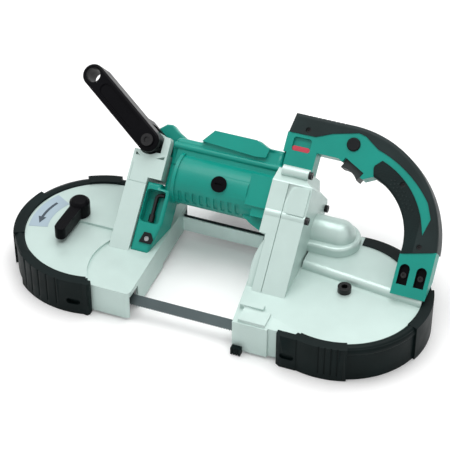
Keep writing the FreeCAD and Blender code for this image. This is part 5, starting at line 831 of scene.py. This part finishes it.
@dataclass
class MotorHead:
    """Teal motor housing with its nose cover, its lamp's window and the hood behind the front handle."""

    shop: Workshop
    edge_round: float = 1.2
    nose_round: float = 1.0
    axis: Place = (120.0, 22.0)
    barrel_radius: float = 30.0
    right_x: float = 44.8
    hump_outline: Outline = ((-56.5, 166.8), (11.8, 162.8), (24.5, 164.5), (26.5, 175.5), (15.0, 179.0),
                             (9.0, 182.3), (-44.0, 182.3))
    hump_front: Span = (30.0, 40.5)
    rail_centre: Place = (155.8, 34.4)
    rail_radius: float = 4.2
    rail_corners: int = 24
    rail_left: float = -89.6
    block_left: float = 16.0
    block_up: Span = (104.8, 142.0)
    block_front: Span = (30.0, 52.5)
    ledge_left: float = 25.0
    ledge_up: Span = (93.5, 105.5)
    ledge_front: Span = (25.0, 47.0)
    skirt_curve: Outline = ((9.0, 98.0), (11.0, 94.5), (17.0, 90.0), (25.0, 85.0), (33.0, 81.6), (41.0, 78.6))
    skirt_right_up: Span = (77.8, 98.0)
    skirt_front: Span = (8.0, 36.0)
    plane_x: Span = (15.8, 46.0)
    plane_up: Span = (90.0, 160.0)
    plane_front: Span = (50.2, 60.0)
    bore_radius: float = 27.0
    bore_corners: int = 60
    bore_x: Span = (0.0, 46.0)
    seam_x: Span = (-92.0, -78.5)
    seam_up: Span = (132.0, 133.2)
    seam_front: Span = (35.0, 38.0)
    vent_left: float = -68.0
    vent_pitch: float = 9.0
    vent_width: float = 4.6
    vent_count: int = 9
    vent_depth: float = 1.3
    vent_over: float = 3.0
    vent_start: float = 126.0
    vent_end: float = 158.0
    vent_steps: int = 8
    hood_outline: Outline = ((-134.0, 170.6), (-122.0, 164.0), (-112.0, 160.0), (-110.0, 128.0),
                             (-89.0, 128.0), (-89.0, 166.0), (-94.0, 172.0), (-104.0, 177.0),
                             (-112.0, 183.5), (-120.0, 182.5))
    hood_front: Span = (-22.0, -6.0)
    hood_round: float = 2.2
    window_outline: Outline = ((-98.5, 32.5), (-83.0, 32.5), (-81.5, 38.0), (-86.5, 45.5), (-94.5, 45.5))
    window_front: Span = (45.6, 48.0)
    window_round: float = 0.4
    lamp: Place = (-90.0, 38.0)
    lamp_radius: float = 3.0
    lamp_corners: int = 24
    lamp_cut: Span = (44.0, 50.0)

    def build(self) -> None:
        """Adds the raised forms, cuts the vents and seams, rounds the edges and fits the hood and window."""
        housing = self.shop.copy_node("motor_housing")
        self.shop.fuse(housing, [self.hump(), self.rail(), self.block(), self.ledge(), self.skirt()])
        self.shop.carve(housing, [self.plane(), self.bore(), self.seam()])
        self.shop.carve(housing, [self.vent(index) for index in range(self.vent_count)])
        self.shop.round_edges(housing, self.edge_round)
        dress(housing, TEAL)
        self.shop.rounded_node("nose_cover", self.nose_round, PLAIN, TEAL)
        self.hood()
        self.window()

    def hump(self) -> Piece:
        """Makes the raised plate on the housing's top."""
        return self.shop.tilted_plate("hump", self.hump_outline, self.hump_front)

    def rail(self) -> Piece:
        """Makes the rounded shoulder that runs along the housing under the hump."""
        section = circle(self.rail_centre, self.rail_radius, self.rail_corners)
        return self.shop.bar("rail", section, (self.rail_left, self.right_x))

    def block(self) -> Piece:
        """Makes the square block where the barrel meets the gear column."""
        outline = rectangle((self.block_left, self.right_x), self.block_up)
        return self.shop.tilted_plate("block", outline, self.block_front)

    def ledge(self) -> Piece:
        """Makes the step under the end block."""
        outline = rectangle((self.ledge_left, self.right_x), self.ledge_up)
        return self.shop.tilted_plate("ledge", outline, self.ledge_front)

    def skirt(self) -> Piece:
        """Makes the skirt that sweeps down to the gear column."""
        outline = [*self.skirt_curve, *((self.right_x, up) for up in self.skirt_right_up)]
        return self.shop.tilted_plate("skirt", outline, self.skirt_front)

    def plane(self) -> Piece:
        """Makes the cutter that planes the end block flat."""
        return self.shop.tilted_plate("plane", rectangle(self.plane_x, self.plane_up), self.plane_front)

    def bore(self) -> Piece:
        """Makes the cutter that keeps the motor's room clear."""
        return self.shop.bar("bore", circle(self.axis, self.bore_radius, self.bore_corners), self.bore_x)

    def seam(self) -> Piece:
        """Makes the cutter of the parting line left of the barrel."""
        return self.shop.tilted_plate("seam", rectangle(self.seam_x, self.seam_up), self.seam_front)

    def vent(self, index: int) -> Piece:
        """Makes the cutter of one shallow slot low on the barrel's front.

        Args:
            index: Which slot, from the left.

        Returns:
            The cutter.
        """
        outer = self.barrel_radius + self.vent_over
        inner = self.barrel_radius - self.vent_depth
        section = arc(self.axis, outer, self.vent_start, self.vent_end, self.vent_steps)
        section += arc(self.axis, inner, self.vent_end, self.vent_start, self.vent_steps)
        x = self.vent_left + index * self.vent_pitch
        return self.shop.bar("vent", section, (x, x + self.vent_width))

    def hood(self) -> None:
        """Makes the teal hood that rises behind the front handle."""
        piece = self.shop.tilted_plate("motor_hood", self.hood_outline, self.hood_front)
        self.shop.round_edges(piece, self.hood_round, SOFT)
        fit_trim(piece, TEAL)

    def window(self) -> None:
        """Makes the dark window that frames the lamp."""
        piece = self.shop.tilted_plate("lamp_window", self.window_outline, self.window_front)
        hole = circle(self.lamp, self.lamp_radius, self.lamp_corners)
        self.shop.carve(piece, [self.shop.tilted_plate("lamp_hole", hole, self.lamp_cut)])
        self.shop.round_edges(piece, self.window_round)
        fit_trim(piece, DARK)


@dataclass
class FrontEnd:
    """Silver arm with its cradle and the black front handle."""

    shop: Workshop
    arm_round: float = 1.1
    handle_round: float = 1.4
    horn_outline: Outline = ((-100.4, 138.0), (-91.6, 138.0), (-91.6, 156.0), (-93.5, 160.5), (-100.4, 160.5))
    horn_front: Span = (34.0, 47.0)
    seam_x: Span = (-136.0, -104.0)
    seam_up: Span = (100.6, 101.8)
    seam_front: Span = (47.2, 52.0)
    line_x: Span = (-130.6, -129.8)
    line_up: Span = (103.0, 123.0)
    line_front: Span = (47.4, 52.0)

    def build(self) -> None:
        """Adds the cradle's horn, cuts the arm's lines and rounds both pieces."""
        arm = self.shop.copy_node("idler_arm")
        self.shop.fuse(arm, [self.shop.tilted_plate("horn", self.horn_outline, self.horn_front)])
        self.shop.carve(arm, [
            self.shop.tilted_plate("cross_seam", rectangle(self.seam_x, self.seam_up), self.seam_front),
            self.shop.tilted_plate("side_line", rectangle(self.line_x, self.line_up), self.line_front),
        ])
        self.shop.round_edges(arm, self.arm_round)
        dress(arm, SILVER)
        self.shop.rounded_node("front_handle", self.handle_round, SOFT, BLACK)


@dataclass
class MainHandle:
    """D-shaped rear handle with its rubber grips, grip dots and foot screws."""

    shop: Workshop
    shell_round: float = 0.7
    grip_round: float = 1.2
    rib_left: float = 60.0
    rib_pitch: float = 5.6
    rib_width: float = 1.6
    rib_count: int = 9
    rib_depth: float = 1.4
    rib_over: float = 5.0
    rib_front: Span = (-10.0, 50.0)
    dot_centre: Place = (130.3, 98.8)
    dot_rows: tuple[float, ...] = (82.0, 85.6, 89.2)
    dot_first: float = 30.0
    dot_step: float = 3.7
    dot_count: int = 8
    dot_radius: float = 0.95
    dot_corners: int = 12
    dot_root: float = 0.5
    dot_height: float = 0.7
    dot_round: float = 0.3
    arch_places: tuple[float, ...] = (216.0, 236.0)
    arch_half: float = 6.0
    arch_up: Span = (58.0, 76.0)
    arch_front: Span = (33.0, 37.4)
    arch_steps: int = 16
    cup_gap: float = 0.1
    cup_inset: float = 0.9
    cup_floor: float = 0.6
    cup_over: float = 4.0
    screw_up: float = 69.0
    screw_radius: float = 3.4
    screw_height: float = 3.4
    screw_corners: int = 30
    screw_round: float = 0.4
    socket_radius: float = 1.7
    socket_corners: int = 6
    socket_reach: Span = (1.8, 8.0)

    def build(self) -> None:
        """Rounds the shells and grips, cuts the ribs on top and sets the dots and the foot's screws."""
        for node in ("handle_shell_front", "handle_shell_rear"):
            self.shop.rounded_node(node, self.shell_round, PLAIN, TEAL)
        back = self.shop.copy_node("handle_back_grip")
        top = self.shop.bench.reach(back, UP)
        self.shop.carve(back, [self.rib(index, top) for index in range(self.rib_count)])
        inner = self.shop.copy_node("handle_inner_grip")
        for piece, finish in ((back, GRIP_WITH_SHEEN), (inner, DIMPLED_RUBBER)):
            self.shop.round_edges(piece, self.grip_round, SOFT)
            dress(piece, finish)
        self.dots(self.shop.bench.reach(inner, FRONT))
        for index, x in enumerate(self.arch_places):
            self.foot_screw(index, x)

    def rib(self, index: int, top: float) -> Piece:
        """Makes the cutter of one groove across the grip's top.

        Args:
            index: Which groove, from the left.
            top: How far up the grip reaches.

        Returns:
            The cutter.
        """
        x = self.rib_left + index * self.rib_pitch
        outline = rectangle((x, x + self.rib_width), (top - self.rib_depth, top + self.rib_over))
        return self.shop.tilted_plate("rib", outline, self.rib_front)

    def dots(self, front: float) -> None:
        """Sets the staggered rows of grip dots on the inner grip.

        Args:
            front: How far to the front the grip reaches.
        """
        reach = (front - self.dot_root, front + self.dot_height)
        studs = []
        for row, radius in enumerate(self.dot_rows):
            start = self.dot_first + self.dot_step * (row % 2) / 2.0
            end = start + self.dot_step * (self.dot_count - 1)
            for place in arc(self.dot_centre, radius, start, end, self.dot_count - 1):
                outline = circle(place, self.dot_radius, self.dot_corners)
                studs.append(self.shop.tilted_plate("grip_dots", outline, reach))
        self.shop.take(studs[0])
        for stud in studs:
            stud.select_set(True)
        bpy.ops.object.join()
        piece = bpy.context.object
        self.shop.round_edges(piece, self.dot_round)
        fit_trim(piece, GRIP_WITH_SHEEN)

    def foot_screw(self, index: int, x: float) -> None:
        """Lines one arched recess of the foot with black and sets its screw head.

        Args:
            index: Which recess, from the left.
            x: Its middle along the saw.
        """
        low, high = self.arch_front
        floor = low + self.cup_floor
        cup = self.shop.tilted_plate(f"foot_cup_{index}", self._arch(x, self.cup_gap), (low, high))
        hollow = self._arch(x, self.cup_inset)
        self.shop.carve(cup, [self.shop.tilted_plate("hollow", hollow, (floor, high + self.cup_over))])
        disc = circle((x, self.screw_up), self.screw_radius, self.screw_corners)
        head = self.shop.tilted_plate(f"foot_screw_{index}", disc, (floor, low + self.screw_height))
        socket = circle((x, self.screw_up), self.socket_radius, self.socket_corners)
        depth = (low + self.socket_reach[0], low + self.socket_reach[1])
        self.shop.carve(head, [self.shop.tilted_plate("socket", socket, depth)])
        self.shop.round_edges(head, self.screw_round)
        fit_trim(cup, BLACK)
        fit_trim(head, BLACK_STEEL)

    def _arch(self, x: float, inset: float) -> list[Place]:
        """Outline of an arched recess.

        Args:
            x: Its middle along the saw.
            inset: How far it is drawn in from the recess's walls.

        Returns:
            Its corners as x and up.
        """
        half = self.arch_half - inset
        low, high = self.arch_up
        foot = [(x - half, low + inset), (x + half, low + inset)]
        return foot + arc((x, high), half, 0.0, 180.0, self.arch_steps)


@dataclass(frozen=True)
class Lamp:
    """A soft square lamp; its place and edge length are in metres, its power in watts."""

    name: str
    place: Triple
    size: float
    power: float

    def hang(self, target: Triple) -> None:
        """Hangs the lamp.

        Args:
            target: The place in metres that it faces.
        """
        bpy.ops.object.light_add(type="AREA", location=self.place)
        lamp = bpy.context.object
        lamp.name = self.name
        lamp.data.size = self.size
        lamp.data.energy = self.power
        way = Vector(target) - Vector(self.place)
        lamp.rotation_euler = way.to_track_quat("-Z", "Y").to_euler()


@dataclass
class Studio:
    """Pale floor, soft light and the camera at the photograph's angle; focal and picture are in pixels."""

    bench: Bench
    azimuth: float = 21.09
    elevation: float = 39.32
    distance: float = 2066.99
    target: Triple = (-12.59, 50.89, 60.0)
    focal: float = 1731.95
    picture: float = 450.0
    sensor: float = 36.0
    floor_size: float = 12000.0
    floor_z: float = -0.4
    floor_tone: float = 0.93
    floor_roughness: float = 0.9
    floor_glow: float = 0.1
    sky_level: float = 0.52
    lamp_target: Triple = (0.0, 0.0, 0.07)
    lamps: tuple[Lamp, ...] = (
        Lamp("key_lamp", (-1.5, -0.4, 1.8), 1.2, 9.0),
        Lamp("fill_lamp", (1.5, -0.9, 1.2), 1.6, 2.5),
        Lamp("rim_lamp", (0.4, 1.3, 1.5), 1.4, 7.0),
        Lamp("top_lamp", (0.0, 0.25, 2.4), 1.6, 32.0),
    )

    def build(self) -> None:
        """Sets the floor, the world, the lamps and the camera."""
        bpy.context.scene.view_settings.view_transform = "Standard"
        self.floor()
        self.world()
        for lamp in self.lamps:
            lamp.hang(self.lamp_target)
        self.camera()

    def floor(self) -> None:
        """Lays a pale floor that keeps the shadow and glows a little to the camera."""
        bpy.ops.object.select_all(action="DESELECT")
        bpy.ops.mesh.primitive_plane_add(size=self.floor_size * MM, location=(0.0, 0.0, self.floor_z * MM))
        plane = bpy.context.object
        plane.name = "studio_floor"
        material = bpy.data.materials.new("pale_floor")
        material.use_nodes = True
        tree = material.node_tree
        shader = tree.nodes["Principled BSDF"]
        shader.inputs["Base Color"].default_value = (self.floor_tone, self.floor_tone, self.floor_tone, 1.0)
        shader.inputs["Roughness"].default_value = self.floor_roughness
        shader.inputs["Emission Color"].default_value = WHITE
        path = tree.nodes.new("ShaderNodeLightPath")
        glow = tree.nodes.new("ShaderNodeMapRange")
        glow.inputs["To Max"].default_value = self.floor_glow
        tree.links.new(path.outputs["Is Camera Ray"], glow.inputs["Value"])
        tree.links.new(glow.outputs["Result"], shader.inputs["Emission Strength"])
        plane.data.materials.append(material)

    def world(self) -> None:
        """Sets an even sky that is white where the camera or a reflection sees it."""
        world = bpy.data.worlds.new("studio_sky")
        bpy.context.scene.world = world
        world.use_nodes = True
        tree = world.node_tree
        back = tree.nodes["Background"]
        path = tree.nodes.new("ShaderNodeLightPath")
        seen = path.outputs["Is Camera Ray"]
        for ray in ("Is Glossy Ray", "Is Transmission Ray"):
            either = tree.nodes.new("ShaderNodeMath")
            either.operation = "MAXIMUM"
            tree.links.new(seen, either.inputs[0])
            tree.links.new(path.outputs[ray], either.inputs[1])
            seen = either.outputs["Value"]
        level = tree.nodes.new("ShaderNodeMapRange")
        level.inputs["To Min"].default_value = self.sky_level
        level.inputs["To Max"].default_value = 1.0
        tree.links.new(seen, level.inputs["Value"])
        tree.links.new(level.outputs["Result"], back.inputs["Strength"])
        back.inputs["Color"].default_value = WHITE

    def camera(self) -> None:
        """Sets the camera at the photograph's angle."""
        turn = math.radians(self.azimuth)
        rise = math.radians(self.elevation)
        back = Vector((math.sin(turn) * math.cos(rise), -math.cos(turn) * math.cos(rise), math.sin(rise)))
        place = self.bench.flat(*self.target) + back * (self.distance * MM)
        bpy.ops.object.camera_add(location=place)
        camera = bpy.context.object
        camera.rotation_euler = (-back).to_track_quat("-Z", "Y").to_euler()
        camera.data.lens = self.focal * self.sensor / self.picture
        camera.data.sensor_width = self.sensor
        bpy.context.scene.camera = camera


def main() -> None:
    """Dresses the saw piece by piece and sets the studio."""
    logging.basicConfig(level=logging.INFO)
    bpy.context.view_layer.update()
    bench = Bench.from_axle()
    shop = Workshop(bench)
    for finish, nodes in NODE_FINISHES.items():
        for node in nodes:
            dress(frame["nodes"][node], finish)
    for assembly in (WheelGuards(shop), GearColumn(shop), MotorHead(shop), FrontEnd(shop), MainHandle(shop)):
        assembly.build()
        log.info("built %s", type(assembly).__name__)
    Studio(bench).build()


if __name__ == "__main__":
    main()
